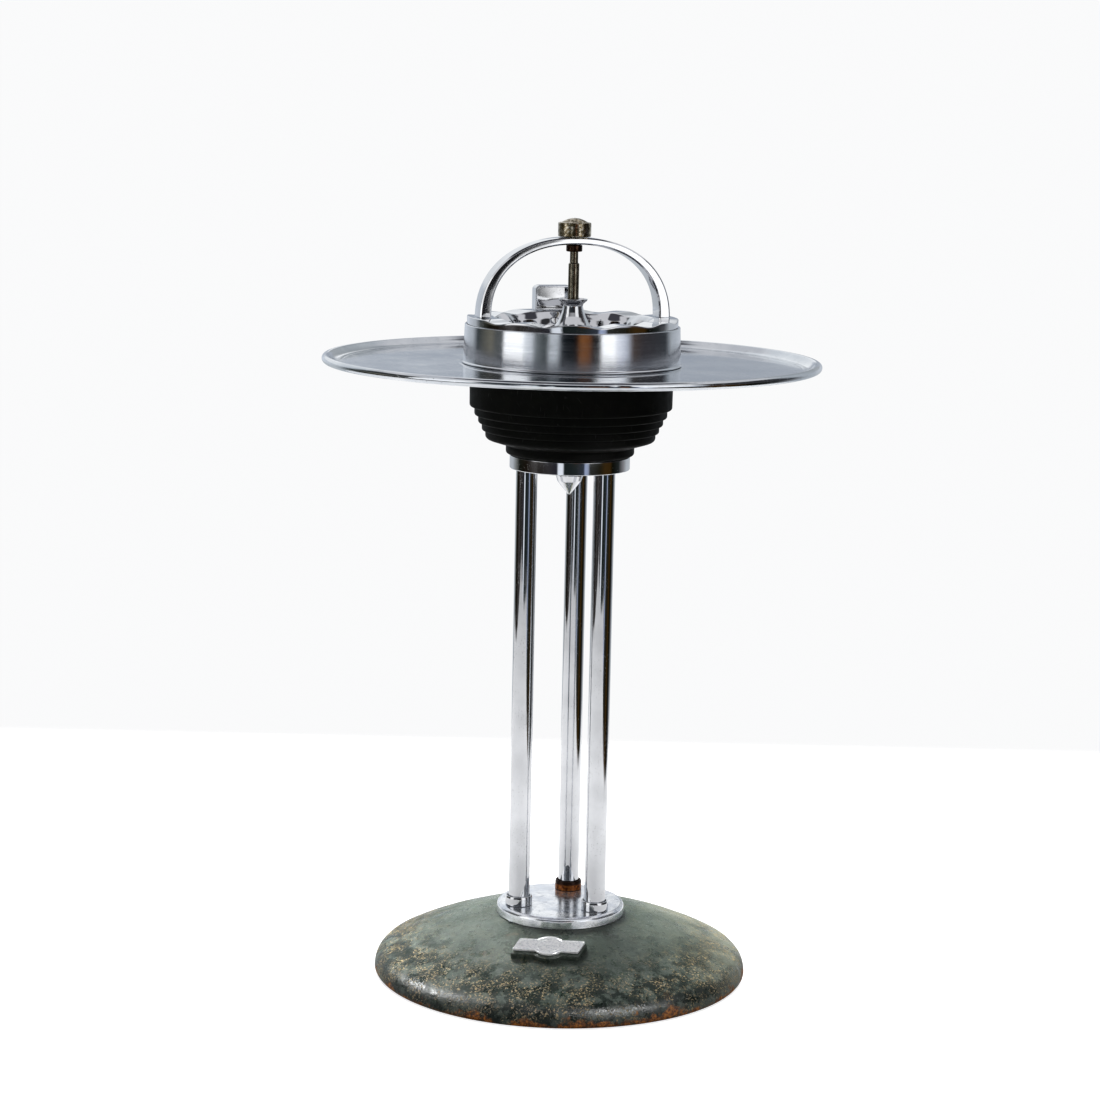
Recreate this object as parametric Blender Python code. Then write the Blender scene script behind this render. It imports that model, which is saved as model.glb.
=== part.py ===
"""A chrome smoking stand: domed iron base, three tube columns, stepped bowl, round tray and ash receiver.

Metres, +Z up. The origin is the centre of the base on the floor. +X runs along the handle arch and -Y is the
front of the receiver. The receiver, with its arch, lifts out; the knob on the arch lifts the trap cone.
"""

import math

import bmesh
import bpy
from mathutils import Matrix

# Fits and edges
GAP = 0.0003
EDGE = 0.0005
SOFT_EDGE = 0.0006
CUT_MARGIN = 0.005
MERGE_DISTANCE = 1e-6
SMOOTH_ANGLE = math.radians(38.0)

# Sides of round pieces, by size
HOLE_SIDES = 8
ROD_SIDES = 10
BORE_SIDES = 12
SMALL_SIDES = 16
TUBE_SIDES = 20
CAN_SIDES = 28
BOWL_SIDES = 32
PLATE_SIDES = 36
DRUM_SIDES = 40
BASE_SIDES = 44
TRAY_SIDES = 60

# Base
BASE_RADIUS = 0.141
BASE_FOOT_INNER = 0.1305
BASE_CROWN_RADIUS = 0.2935
BASE_SHOULDER_RADIUS = 0.015
BASE_SEAT_RADIUS = 0.0483
BASE_SEAT_Z = 0.045
BASE_SEAT_RIM = 0.0005
BASE_WALL = 0.007
BASE_HUB_RADIUS = 0.046
BASE_HUB_FILLET = 0.002
BASE_HUB_Z = 0.030
BASE_TURN = math.radians(-25.4)

# Base plate
PLATE_RADIUS = 0.0483
PLATE_TOP_Z = 0.0539
PLATE_ROUND = 0.0028

# Columns: 5/8 inch tube around 1/4 inch tie rods
COLUMN_COUNT = 3
COLUMN_NAMES = ("rear", "left", "right")
COLUMN_PITCH = 0.0336
TUBE_RADIUS = 0.0079375
TUBE_WALL = 0.0012
FERRULE_INNER = 0.00825
FERRULE_OUTER = 0.0101
FERRULE_HEIGHT = 0.0072
ROD_RADIUS = 0.0031
ROD_HOLE = 0.0035
ROD_BOTTOM_Z = 0.019
NUT_FLATS = 0.0111
NUT_THICKNESS = 0.0038
LOWER_NUT_THICKNESS = 0.0054
NUT_BORE = 0.0034
NUT_CORNERS = 6
ROD_TOP_DROP = 0.0012
WASHER_RADIUS = 0.009
WASHER_THICKNESS = 0.0014

# Screws and rivets: head radius and height, shank radius, length
HEAD_SHOULDER = (0.7, 0.8)
TRAY_SCREW = (0.0034, 0.0020, 0.0014, 0.0080)
ARCH_SCREW = (0.0031, 0.0018, 0.0015, 0.0070)
HOLDER_RIVET = (0.0022, 0.0010, 0.0012, 0.0036)
BADGE_RIVET = (0.0020, 0.0009, 0.0010, 0.0045)
BOLT_HEAD_RADIUS = 0.006
BOLT_HEAD_HEIGHT = 0.0034

# Top collar
COLLAR_RADIUS = 0.04466
COLLAR_LOW_Z = 0.3865
COLLAR_TOP_Z = 0.3961
COLLAR_POCKET_RADIUS = 0.0071
COLLAR_POCKET_Z = 0.3911

# Finial nut under the collar: (radius, depth below its top)
FINIAL_BORE_DEPTH = 0.0140
FINIAL_BOLT_DEPTH = 0.0117
FINIAL_TIP_DEPTH = 0.0197
FINIAL_PROFILE = (
    (0.0099, 0.0),
    (0.0103, 0.0008),
    (0.0103, 0.0050),
    (0.0098, 0.0075),
    (0.0088, 0.0096),
    (0.0054, 0.0139),
    (0.0029, 0.0171),
    (0.0012, 0.0190),
)

# Bowl: a band, four ribs and a lower ring, each (radius, lower edge)
BOWL_TOP_Z = 0.4628
BOWL_STEPS = (
    (0.0750, 0.4318),
    (0.0714, 0.4254),
    (0.0685, 0.4197),
    (0.0657, 0.4141),
)
BOWL_ROUND = 0.0011
BOWL_BAND_LIP = 0.0003
BOWL_HIP_RADIUS = 0.06305
BOWL_HIP_Z = 0.4105
BOWL_HIP_EASE = ((0.0010, 0.0016), (0.0040, 0.0026))
BOWL_RING_RADIUS = 0.04765
BOWL_RING_TOP_Z = 0.4036
BOWL_RING_EASE = ((0.0, 0.0040), (0.0010, 0.0058))
BOWL_RING_FOOT = 0.04445
BOWL_FLANGE_INNER = 0.0665
BOWL_FLANGE_THICKNESS = 0.003
BOWL_INNER_RADIUS = 0.0723
BOWL_INNER_LOW_Z = 0.4410
BOWL_WELL_RADIUS = 0.0450
BOWL_WELL_DRAFT = 0.0004
BOWL_FLOOR_Z = 0.3995
BOWL_SCREW_HOLE = 0.0017
CAN_SHELF_Z = 0.4095
CAN_SHELF_RADIUS = 0.0585
CAN_GUIDE_RADIUS = 0.0592
CAN_GUIDE_Z = 0.4125

# Tray
TRAY_HOLE = 0.066
TRAY_FLOOR_Z = 0.4641
TRAY_SHEET = 0.001
TRAY_SEAT_RADIUS = 0.0832
TRAY_SEAT_EASE = 0.0006
TRAY_FLAT_Z = 0.4639
TRAY_FLAT_RADIUS = 0.1697
TRAY_COVE = ((0.1735, 0.0005), (0.1762, 0.0016), (0.1779, 0.0030))
TRAY_COVE_UNDER = ((0.1768, 0.0007), (0.1741, -0.0004), (0.1700, -0.0010))
TRAY_BEAD_CENTRE = 0.1811
TRAY_BEAD_Z = 0.4662
TRAY_BEAD_RADIUS = 0.00295
TRAY_BEAD_START = 140.0
TRAY_BEAD_END = -165.0
TRAY_BEAD_STEPS = 9
SCREW_HOLE = 0.0020

# Drum
DRUM_FOOT_RADIUS = 0.0811
DRUM_LOW_RADIUS = 0.0803
DRUM_TOP_RADIUS = 0.0794
DRUM_TOP_Z = 0.4927
DRUM_LEDGE_Z = 0.4915
DRUM_REBATE_RADIUS = 0.0782
DRUM_LIP_INNER = 0.0736
DRUM_SHEET = 0.0014
DRUM_FOOT_EASE = ((-0.0006, 0.0), (0.0, 0.0008), (-0.0003, 0.0019))
DRUM_WALL_LOW = 0.0026
DRUM_WALL_TOP = 0.0022
DRUM_INNER_EASE = 0.0008
TRAY_SCREW_COUNT = 4
TRAY_SCREW_NAMES = ("right", "rear", "left", "front")
TRAY_SCREW_PITCH = 0.0705

# Ash can
CAN_BOTTOM_RADIUS = 0.055
CAN_TOP_RADIUS = 0.0605
CAN_TOP_Z = 0.4685
CAN_BEAD = 0.0015
CAN_SHEET = 0.0012
CAN_CORNER = ((-0.0030, 0.0), (-0.0006, 0.0012), (0.0, 0.0040))
CAN_INNER = 0.00126
CAN_INNER_LOW = 0.0045

# Receiver dish
DISH_RADIUS = 0.0778
DISH_TOP_Z = 0.4985
DISH_SHEET = 0.0012
DISH_BAND_LOW_Z = 0.4918
DISH_LAND_INNER = 0.0585
DISH_BAND_EASE = (0.0007, 0.0008)
DISH_WALL_LOW_Z = 0.480
DISH_WALL = ((0.0562, 0.0016), (0.0544, 0.0055), (0.0518, 0.0110), (0.0472, 0.0155), (0.0400, 0.0181))
DISH_UNDER = ((0.0404, 0.0193), (0.0481, 0.0164), (0.0529, 0.0114), (0.0556, 0.0058), (0.0590, 0.0012))
DISH_HOLE = 0.027
DISH_HOLE_Z = 0.4789
FLUTE_COUNT = 12
DISH_STEPS = FLUTE_COUNT * 6
FLUTE_SPREAD = 0.0030
REST_HALF_WIDTH = 0.0165
REST_DEPTH = 0.0020
REST_INDEXES = (1, 2, 4, 5, 7, 8, 9, 10, 11)

# Handle arch
ARCH_HALF_SPAN = 0.0680
ARCH_CROWN_Z = 0.5571
ARCH_WIDTH = 0.0182
ARCH_CHAMFER = 0.0011
ARCH_LEG_THICKNESS = 0.0086
ARCH_CROWN_THICKNESS = 0.0052
ARCH_EXPONENT = 0.9
ARCH_STEPS = 24
ARCH_SCREW_DISH_HOLE = 0.0019
ARCH_SCREW_HOLE = 0.0018
ARCH_BORE_DEPTH = 0.010

# Plunger
BUSH_RADIUS = 0.00595
BUSH_LOW_Z = 0.5465
BUSH_TOP_Z = 0.5513
BUSH_SLEEVE_RADIUS = 0.0044
BUSH_BORE = 0.0033
PLUNGER_THIN = 0.00305
PLUNGER_THICK = 0.0040
PLUNGER_SHOULDER_Z = 0.5384
PLUNGER_TAIL_RADIUS = 0.0029
PLUNGER_TAIL_TOP_Z = 0.5091
PLUNGER_LOW_Z = 0.4765
KNOB_RADIUS = 0.01215
KNOB_LOW_Z = 0.5574
KNOB_SIDE_Z = 0.5670
KNOB_TOP_Z = 0.5710
KNOB_BORE_Z = 0.5645
KNOB_QUIRK = (0.0030, 0.0005)
KNOB_DOME = ((0.0052, 0.0016), (0.0086, 0.0004))
SHOULDER_CHAMFER = 0.0009

# Trap cone: (radius, height above its cup's edge) and (radius, height above its skirt's edge)
CONE_SKIRT_RISE = 0.0011
CONE_CUP = (
    (0.0062, 0.0),
    (0.0098, 0.0026),
    (0.0103, 0.0034),
    (0.0107, 0.0028),
    (0.0101, 0.0016),
    (0.0076, -0.0006),
    (0.0072, -0.0022),
    (0.0081, -0.0060),
    (0.0095, -0.0098),
    (0.0116, -0.0142),
)
CONE_SKIRT = (
    (0.0146, 0.0104),
    (0.0190, 0.0062),
    (0.0258, 0.0029),
    (0.0328, 0.0011),
    (0.0333, 0.0004),
    (0.0329, 0.0),
    (0.0258, 0.0016),
    (0.0194, 0.0044),
    (0.0140, 0.0084),
)
CONE_INNER = ((0.0104, -0.0150), (0.0070, -0.0060))
CONE_NECK_DEPTH = 0.0042
TRAP_WASHER_RADIUS = 0.0205
TRAP_WASHER_RISE = 0.0022
TRAP_WASHER_THICKNESS = 0.0011

# Match holder
HOLDER_CENTRE_X = 0.0015
HOLDER_HALF_WIDTH = 0.0145
HOLDER_FRONT_Y = 0.059
HOLDER_REAR_Y = 0.070
HOLDER_HEIGHT = 0.0185
HOLDER_SHEET = 0.0013
HOLDER_ROUND = 0.0032
HOLDER_RIVET_X = 0.0065
HOLDER_RIVET_HOLE = 0.0015

# Badge
BADGE_ANGLE = math.radians(249.0)
BADGE_DISTANCE = 0.0786
BADGE_HALF_LENGTH = 0.026
BADGE_HALF_HEIGHT = 0.0118
BADGE_THICKNESS = 0.0016
BADGE_CORNER = 0.0035
BADGE_BORDER = 0.0015
BADGE_RECESS = 0.0005
BADGE_SEAT_HEIGHT = 0.0030
BADGE_SEAT_MARGIN = 0.0008
BADGE_SEAT_DEPTH = 0.003
BADGE_RIVET_OFFSET = 0.0215
BADGE_RIVET_HOLE = 0.0013
BADGE_HOLE_DEPTH = 0.004

# Colours and surfaces: (base colour, metallic, roughness)
FINISHES = {
    "polished_chrome": ((0.80, 0.81, 0.83), 1.0, 0.08),
    "satin_chrome": ((0.66, 0.67, 0.69), 1.0, 0.28),
    "tray_chrome": ((0.72, 0.73, 0.75), 1.0, 0.16),
    "worn_nickel": ((0.42, 0.37, 0.30), 1.0, 0.32),
    "black_enamel": ((0.012, 0.013, 0.012), 0.0, 0.55),
    "painted_iron": ((0.075, 0.095, 0.085), 0.3, 0.50),
    "rusted_plate": ((0.33, 0.13, 0.05), 0.7, 0.55),
    "badge_alloy": ((0.75, 0.75, 0.74), 1.0, 0.35),
    "steel": ((0.45, 0.45, 0.46), 1.0, 0.40),
    "tinplate": ((0.55, 0.55, 0.54), 1.0, 0.35),
}


def clear_scene():
    """Remove whatever the scene held."""
    for thing in list(bpy.data.objects):
        bpy.data.objects.remove(thing, do_unlink=True)


def finish(slot):
    """The material of one finish, made on first use."""
    material = bpy.data.materials.get(slot)
    if material is None:
        colour, metallic, roughness = FINISHES[slot]
        material = bpy.data.materials.new(slot)
        material.use_nodes = True
        shader = material.node_tree.nodes["Principled BSDF"]
        shader.inputs["Base Color"].default_value = (*colour, 1.0)
        shader.inputs["Metallic"].default_value = metallic
        shader.inputs["Roughness"].default_value = roughness
    return material


def place(name, bm, slot, parent=None):
    """Turn a bmesh into a smooth-shaded object with outward faces."""
    bmesh.ops.recalc_face_normals(bm, faces=bm.faces)
    mesh = bpy.data.meshes.new(name)
    bm.to_mesh(mesh)
    bm.free()
    mesh.shade_smooth()
    mesh.set_sharp_from_angle(angle=SMOOTH_ANGLE)
    mesh.materials.append(finish(slot))
    piece = bpy.data.objects.new(name, mesh)
    bpy.context.scene.collection.objects.link(piece)
    piece.parent = parent
    return piece


def arc(centre, radius, start, end, steps):
    """Points (radius, height) along an arc; angles in degrees from +R towards +Z."""
    points = []
    for index in range(steps + 1):
        angle = math.radians(start + (end - start) * index / steps)
        points.append((centre[0] + radius * math.cos(angle), centre[1] + radius * math.sin(angle)))
    return points


def turned_mesh(outline, steps):
    """Spin an outline of (radius, height) points about +Z; it closes on itself or on the axis."""
    bm = bmesh.new()
    ring = [bm.verts.new((radius, 0.0, height)) for radius, height in outline]
    on_axis = outline[0][0] == 0.0 and outline[-1][0] == 0.0
    count = len(ring)
    last = count - 1 if on_axis else count
    edges = [bm.edges.new((ring[index], ring[(index + 1) % count])) for index in range(last)]
    bmesh.ops.spin(
        bm,
        geom=ring + edges,
        cent=(0.0, 0.0, 0.0),
        axis=(0.0, 0.0, 1.0),
        angle=2.0 * math.pi,
        steps=steps,
        use_merge=True,
    )
    bmesh.ops.remove_doubles(bm, verts=bm.verts, dist=MERGE_DISTANCE)
    return bm


def turned(name, outline, steps, slot, parent=None, at=(0.0, 0.0)):
    """A solid of revolution, moved to at in plan."""
    bm = turned_mesh(outline, steps)
    bmesh.ops.translate(bm, verts=bm.verts, vec=(at[0], at[1], 0.0))
    return place(name, bm, slot, parent)


def bore(target, radius, at, low, high, sides=BORE_SIDES, frame=None):
    """Cut a round hole into target from height low to high, in frame if one is given."""
    bm = turned_mesh([(0.0, high), (radius, high), (radius, low), (0.0, low)], sides)
    bmesh.ops.translate(bm, verts=bm.verts, vec=(at[0], at[1], 0.0))
    if frame is not None:
        bmesh.ops.transform(bm, matrix=frame, verts=bm.verts)
    cut(target, bm, "DIFFERENCE")


def cut(target, bm, operation):
    """Apply a closed bmesh to target with an exact Boolean, kept as a wire guide."""
    guide = place(target.name + "_guide", bm, "steel")
    guide.hide_render = True
    guide.display_type = "WIRE"
    modifier = target.modifiers.new("boolean", "BOOLEAN")
    modifier.operation = operation
    modifier.solver = "EXACT"
    modifier.object = guide


def hex_nut(name, at, low, thickness, slot, parent=None):
    """A hexagon nut: a turned ring whose outline is pulled in at the middle of each flat."""
    flat = NUT_FLATS / 2.0
    pitch = math.pi / NUT_CORNERS
    corner = flat / math.cos(pitch)
    high = low + thickness
    outline = [(NUT_BORE, high), (corner, high), (corner, low), (NUT_BORE, low)]
    bm = turned_mesh(outline, 2 * NUT_CORNERS)
    for vertex in bm.verts:
        radius = math.hypot(vertex.co.x, vertex.co.y)
        sector = round(math.atan2(vertex.co.y, vertex.co.x) / pitch)
        if radius > flat and sector % 2:
            shrink = flat / radius
            vertex.co.x *= shrink
            vertex.co.y *= shrink
    bmesh.ops.translate(bm, verts=bm.verts, vec=(at[0], at[1], 0.0))
    return place(name, bm, slot, parent)


def screw(name, slot, size, frame, parent=None):
    """A round-headed screw or rivet: head above its frame's XY plane, shank below."""
    head_radius, head_height, shank_radius, length = size
    outline = [
        (0.0, head_height),
        (head_radius * HEAD_SHOULDER[0], head_height * HEAD_SHOULDER[1]),
        (head_radius, 0.0),
        (shank_radius, 0.0),
        (shank_radius, -length),
        (0.0, -length),
    ]
    bm = turned_mesh(outline, HOLE_SIDES)
    bmesh.ops.transform(bm, matrix=frame, verts=bm.verts)
    return place(name, bm, slot, parent)


def column_place(index):
    """Plan position of a column: the first is at the rear, the others go round to the left and right."""
    angle = math.radians(90.0) + BASE_TURN + index * 2.0 * math.pi / COLUMN_COUNT
    return (COLUMN_PITCH * math.cos(angle), COLUMN_PITCH * math.sin(angle))


def crown_centre_z():
    """Height of the centre of the base's crown sphere, which meets the seat's edge."""
    return BASE_SEAT_Z + BASE_SEAT_RIM - math.sqrt(BASE_CROWN_RADIUS**2 - BASE_SEAT_RADIUS**2)


def shoulder_centre():
    """Centre (radius, height) of the base's shoulder arc, tangent to its crown arc."""
    radius = BASE_RADIUS - BASE_SHOULDER_RADIUS
    reach = BASE_CROWN_RADIUS - BASE_SHOULDER_RADIUS
    return (radius, crown_centre_z() + math.sqrt(reach**2 - radius**2))


def dome_arcs(inset, start_radius, end_radius, steps):
    """Crown and shoulder of the base, inset from its outer face, between two radii."""
    crown = BASE_CROWN_RADIUS - inset
    shoulder = BASE_SHOULDER_RADIUS - inset
    centre_z = crown_centre_z()
    centre = shoulder_centre()
    tangent = math.degrees(math.atan2(centre[1] - centre_z, centre[0]))
    start = math.degrees(math.acos(start_radius / crown))
    end = math.degrees(math.acos((end_radius - centre[0]) / shoulder))
    points = arc((0.0, centre_z), crown, start, tangent, steps)
    points += arc(centre, shoulder, tangent, end, steps - 1)[1:]
    return points


def badge_frame(height):
    """Frame on the base at the badge: local X along its length, local Z out of the dome, raised by height."""
    slope = math.asin(BADGE_DISTANCE / BASE_CROWN_RADIUS)
    centre_z = crown_centre_z()
    around = Matrix.Rotation(BADGE_ANGLE + math.radians(90.0), 4, "Z")
    tilt = Matrix.Rotation(slope, 4, "X")
    return Matrix.Translation((0.0, 0.0, centre_z)) @ around @ tilt @ Matrix.Translation(
        (0.0, 0.0, BASE_CROWN_RADIUS + height)
    )


def rounded_plate(half_x, half_y, corner, low, high, corner_steps=3):
    """A flat plate with round corners, as a bmesh between two heights."""
    bm = bmesh.new()
    outline = []
    for quadrant, (sign_x, sign_y) in enumerate(((1, 1), (-1, 1), (-1, -1), (1, -1))):
        centre = (sign_x * (half_x - corner), sign_y * (half_y - corner))
        start = 90.0 * quadrant
        outline += arc(centre, corner, start, start + 90.0, corner_steps)
    face = bm.faces.new([bm.verts.new((x, y, low)) for x, y in outline])
    sweep = bmesh.ops.extrude_face_region(bm, geom=[face])
    top = [item for item in sweep["geom"] if isinstance(item, bmesh.types.BMVert)]
    bmesh.ops.translate(bm, verts=top, vec=(0.0, 0.0, high - low))
    return bm


def make_base():
    """Hollow iron casting with a thick hub, a flat seat for the plate and a raised seat for the badge."""
    foot_round = shoulder_centre()[1]
    outline = [(0.0, BASE_SEAT_Z), (BASE_SEAT_RADIUS + GAP, BASE_SEAT_Z)]
    outline += dome_arcs(0.0, BASE_SEAT_RADIUS + GAP, BASE_RADIUS, 4)
    outline += arc((BASE_RADIUS - foot_round, foot_round), foot_round, 0.0, -90.0, 2)[1:]
    outline.append((BASE_FOOT_INNER, 0.0))
    outline += reversed(dome_arcs(BASE_WALL, BASE_HUB_RADIUS + BASE_HUB_FILLET, BASE_FOOT_INNER, 3))
    outline += [(BASE_HUB_RADIUS, BASE_HUB_Z), (0.0, BASE_HUB_Z)]
    base = turned("base_casting", outline, BASE_SIDES, "painted_iron")
    seat = rounded_plate(
        BADGE_HALF_LENGTH + BADGE_SEAT_MARGIN,
        BADGE_HALF_HEIGHT + BADGE_SEAT_MARGIN,
        BADGE_CORNER + BADGE_SEAT_MARGIN,
        -BADGE_SEAT_DEPTH,
        BADGE_SEAT_HEIGHT,
    )
    bmesh.ops.transform(seat, matrix=badge_frame(0.0), verts=seat.verts)
    cut(base, seat, "UNION")
    for index in range(COLUMN_COUNT):
        bore(base, ROD_HOLE, column_place(index), BASE_HUB_Z - CUT_MARGIN, BASE_SEAT_Z + CUT_MARGIN)
    for side in (-1, 1):
        at = (side * BADGE_RIVET_OFFSET, 0.0)
        bore(
            base,
            BADGE_RIVET_HOLE,
            at,
            -BADGE_HOLE_DEPTH,
            BADGE_SEAT_HEIGHT + CUT_MARGIN,
            HOLE_SIDES,
            badge_frame(0.0),
        )


def make_base_plate():
    """Thick chromed disc with a rounded upper edge, on the base's seat."""
    low = BASE_SEAT_Z + GAP
    outline = [(0.0, PLATE_TOP_Z)]
    outline += arc((PLATE_RADIUS - PLATE_ROUND, PLATE_TOP_Z - PLATE_ROUND), PLATE_ROUND, 90.0, 0.0, 3)
    outline += [(PLATE_RADIUS, low + SOFT_EDGE), (PLATE_RADIUS - SOFT_EDGE, low), (0.0, low)]
    plate = turned("base_plate", outline, PLATE_SIDES, "polished_chrome")
    for index in range(COLUMN_COUNT):
        bore(plate, ROD_HOLE, column_place(index), low - CUT_MARGIN, PLATE_TOP_Z + CUT_MARGIN)


def make_columns():
    """Three tubes in ferrules, each clamped by a tie rod with a nut at either end."""
    foot = PLATE_TOP_Z + GAP
    head = COLLAR_LOW_Z - GAP
    for index, side in enumerate(COLUMN_NAMES):
        at = column_place(index)
        inner = TUBE_RADIUS - TUBE_WALL
        tube = [(inner, head), (TUBE_RADIUS, head), (TUBE_RADIUS, foot), (inner, foot)]
        turned("column_tube_" + side, tube, TUBE_SIDES, "polished_chrome", at=at)
        top = foot + FERRULE_HEIGHT
        ferrule = [
            (FERRULE_INNER, top),
            (FERRULE_OUTER - EDGE, top),
            (FERRULE_OUTER, top - EDGE),
            (FERRULE_OUTER, foot),
            (FERRULE_INNER, foot),
        ]
        slot = "rusted_plate" if side == "rear" else "polished_chrome"
        turned("column_ferrule_" + side, ferrule, TUBE_SIDES, slot, at=at)
        rod_top = COLLAR_TOP_Z - ROD_TOP_DROP
        rod = [(0.0, rod_top), (ROD_RADIUS, rod_top), (ROD_RADIUS, ROD_BOTTOM_Z), (0.0, ROD_BOTTOM_Z)]
        turned("tie_rod_" + side, rod, ROD_SIDES, "steel", at=at)
        hex_nut("top_nut_" + side, at, COLLAR_POCKET_Z + GAP, NUT_THICKNESS, "steel")
        washer_top = BASE_HUB_Z - GAP
        washer_low = washer_top - WASHER_THICKNESS
        washer = [
            (NUT_BORE, washer_top),
            (WASHER_RADIUS, washer_top),
            (WASHER_RADIUS, washer_low),
            (NUT_BORE, washer_low),
        ]
        turned("base_washer_" + side, washer, BORE_SIDES, "steel", at=at)
        nut_low = washer_low - GAP - LOWER_NUT_THICKNESS
        hex_nut("base_nut_" + side, at, nut_low, LOWER_NUT_THICKNESS, "steel")


def make_collar():
    """Chromed disc that carries the bowl, with pockets for the top nuts."""
    outline = [
        (0.0, COLLAR_TOP_Z),
        (COLLAR_RADIUS - EDGE, COLLAR_TOP_Z),
        (COLLAR_RADIUS, COLLAR_TOP_Z - EDGE),
        (COLLAR_RADIUS, COLLAR_LOW_Z + EDGE),
        (COLLAR_RADIUS - EDGE, COLLAR_LOW_Z),
        (0.0, COLLAR_LOW_Z),
    ]
    collar = turned("top_collar", outline, PLATE_SIDES, "polished_chrome")
    bore(collar, ROD_HOLE, (0.0, 0.0), COLLAR_LOW_Z - CUT_MARGIN, COLLAR_TOP_Z + CUT_MARGIN)
    for index in range(COLUMN_COUNT):
        at = column_place(index)
        bore(collar, ROD_HOLE, at, COLLAR_LOW_Z - CUT_MARGIN, COLLAR_POCKET_Z + EDGE)
        bore(collar, COLLAR_POCKET_RADIUS, at, COLLAR_POCKET_Z, COLLAR_TOP_Z + CUT_MARGIN, SMALL_SIDES)


def make_centre_bolt():
    """Bolt through the bowl and collar, and the turned finial nut below them."""
    top = COLLAR_LOW_Z - GAP
    head_low = BOWL_FLOOR_Z + GAP
    length = head_low - top + FINIAL_BOLT_DEPTH
    frame = Matrix.Translation((0.0, 0.0, head_low))
    screw("centre_bolt", "steel", (BOLT_HEAD_RADIUS, BOLT_HEAD_HEIGHT, ROD_RADIUS, length), frame)
    floor = top - FINIAL_BORE_DEPTH
    outline = [(0.0, floor), (NUT_BORE, floor), (NUT_BORE, top)]
    outline += [(radius, top - depth) for radius, depth in FINIAL_PROFILE]
    outline.append((0.0, top - FINIAL_TIP_DEPTH))
    turned("finial_nut", outline, SMALL_SIDES, "polished_chrome")


def make_bowl():
    """Black stepped bowl: outer steps get smaller downwards, an inward flange at the top takes the screws."""
    outline = [(BOWL_FLANGE_INNER, BOWL_TOP_Z), (BOWL_STEPS[0][0] + BOWL_BAND_LIP, BOWL_TOP_Z)]
    for index, (radius, low) in enumerate(BOWL_STEPS):
        if index:
            outline.append((radius, BOWL_STEPS[index - 1][1]))
        outline += [(radius, low + BOWL_ROUND), (radius - BOWL_ROUND, low)]
    outline += [(BOWL_HIP_RADIUS, BOWL_STEPS[-1][1]), (BOWL_HIP_RADIUS, BOWL_HIP_Z)]
    outline += [(BOWL_HIP_RADIUS - ease, BOWL_HIP_Z - drop) for ease, drop in BOWL_HIP_EASE]
    outline.append((BOWL_RING_RADIUS, BOWL_RING_TOP_Z))
    outline += [(BOWL_RING_RADIUS - ease, BOWL_RING_TOP_Z - drop) for ease, drop in BOWL_RING_EASE]
    outline += [
        (BOWL_RING_FOOT, COLLAR_TOP_Z + GAP),
        (NUT_BORE, COLLAR_TOP_Z + GAP),
        (NUT_BORE, BOWL_FLOOR_Z),
        (BOWL_WELL_RADIUS - BOWL_WELL_DRAFT, BOWL_FLOOR_Z),
        (BOWL_WELL_RADIUS, CAN_SHELF_Z),
        (CAN_SHELF_RADIUS, CAN_SHELF_Z),
        (CAN_GUIDE_RADIUS, CAN_GUIDE_Z),
        (BOWL_INNER_RADIUS, BOWL_INNER_LOW_Z),
        (BOWL_INNER_RADIUS, BOWL_TOP_Z - BOWL_FLANGE_THICKNESS),
        (BOWL_FLANGE_INNER, BOWL_TOP_Z - BOWL_FLANGE_THICKNESS),
    ]
    bowl = turned("bowl", outline, BOWL_SIDES, "black_enamel")
    for index in range(TRAY_SCREW_COUNT):
        low = BOWL_TOP_Z - BOWL_FLANGE_THICKNESS - CUT_MARGIN
        bore(bowl, BOWL_SCREW_HOLE, screw_place(index), low, BOWL_TOP_Z + CUT_MARGIN, HOLE_SIDES)


def screw_place(index):
    """Plan position of a tray screw."""
    angle = index * 2.0 * math.pi / TRAY_SCREW_COUNT
    return (TRAY_SCREW_PITCH * math.cos(angle), TRAY_SCREW_PITCH * math.sin(angle))


def make_tray():
    """Flat sheet with a low seat for the drum, a cove and a rolled bead round its edge, and a central hole."""
    under = TRAY_FLOOR_Z - TRAY_SHEET
    centre = (TRAY_BEAD_CENTRE, TRAY_BEAD_Z)
    outline = [
        (TRAY_HOLE, TRAY_FLOOR_Z),
        (TRAY_SEAT_RADIUS, TRAY_FLOOR_Z),
        (TRAY_SEAT_RADIUS + TRAY_SEAT_EASE, TRAY_FLAT_Z),
        (TRAY_FLAT_RADIUS, TRAY_FLAT_Z),
    ]
    outline += [(radius, TRAY_FLOOR_Z + rise) for radius, rise in TRAY_COVE]
    outline += arc(centre, TRAY_BEAD_RADIUS, TRAY_BEAD_START, TRAY_BEAD_END, TRAY_BEAD_STEPS)
    outline += [(radius, TRAY_FLOOR_Z + rise) for radius, rise in TRAY_COVE_UNDER]
    outline.append((TRAY_HOLE, under))
    tray = turned("tray", outline, TRAY_SIDES, "tray_chrome")
    for index in range(TRAY_SCREW_COUNT):
        at = screw_place(index)
        bore(tray, SCREW_HOLE, at, under - CUT_MARGIN, TRAY_FLOOR_Z + CUT_MARGIN, HOLE_SIDES)


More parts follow.
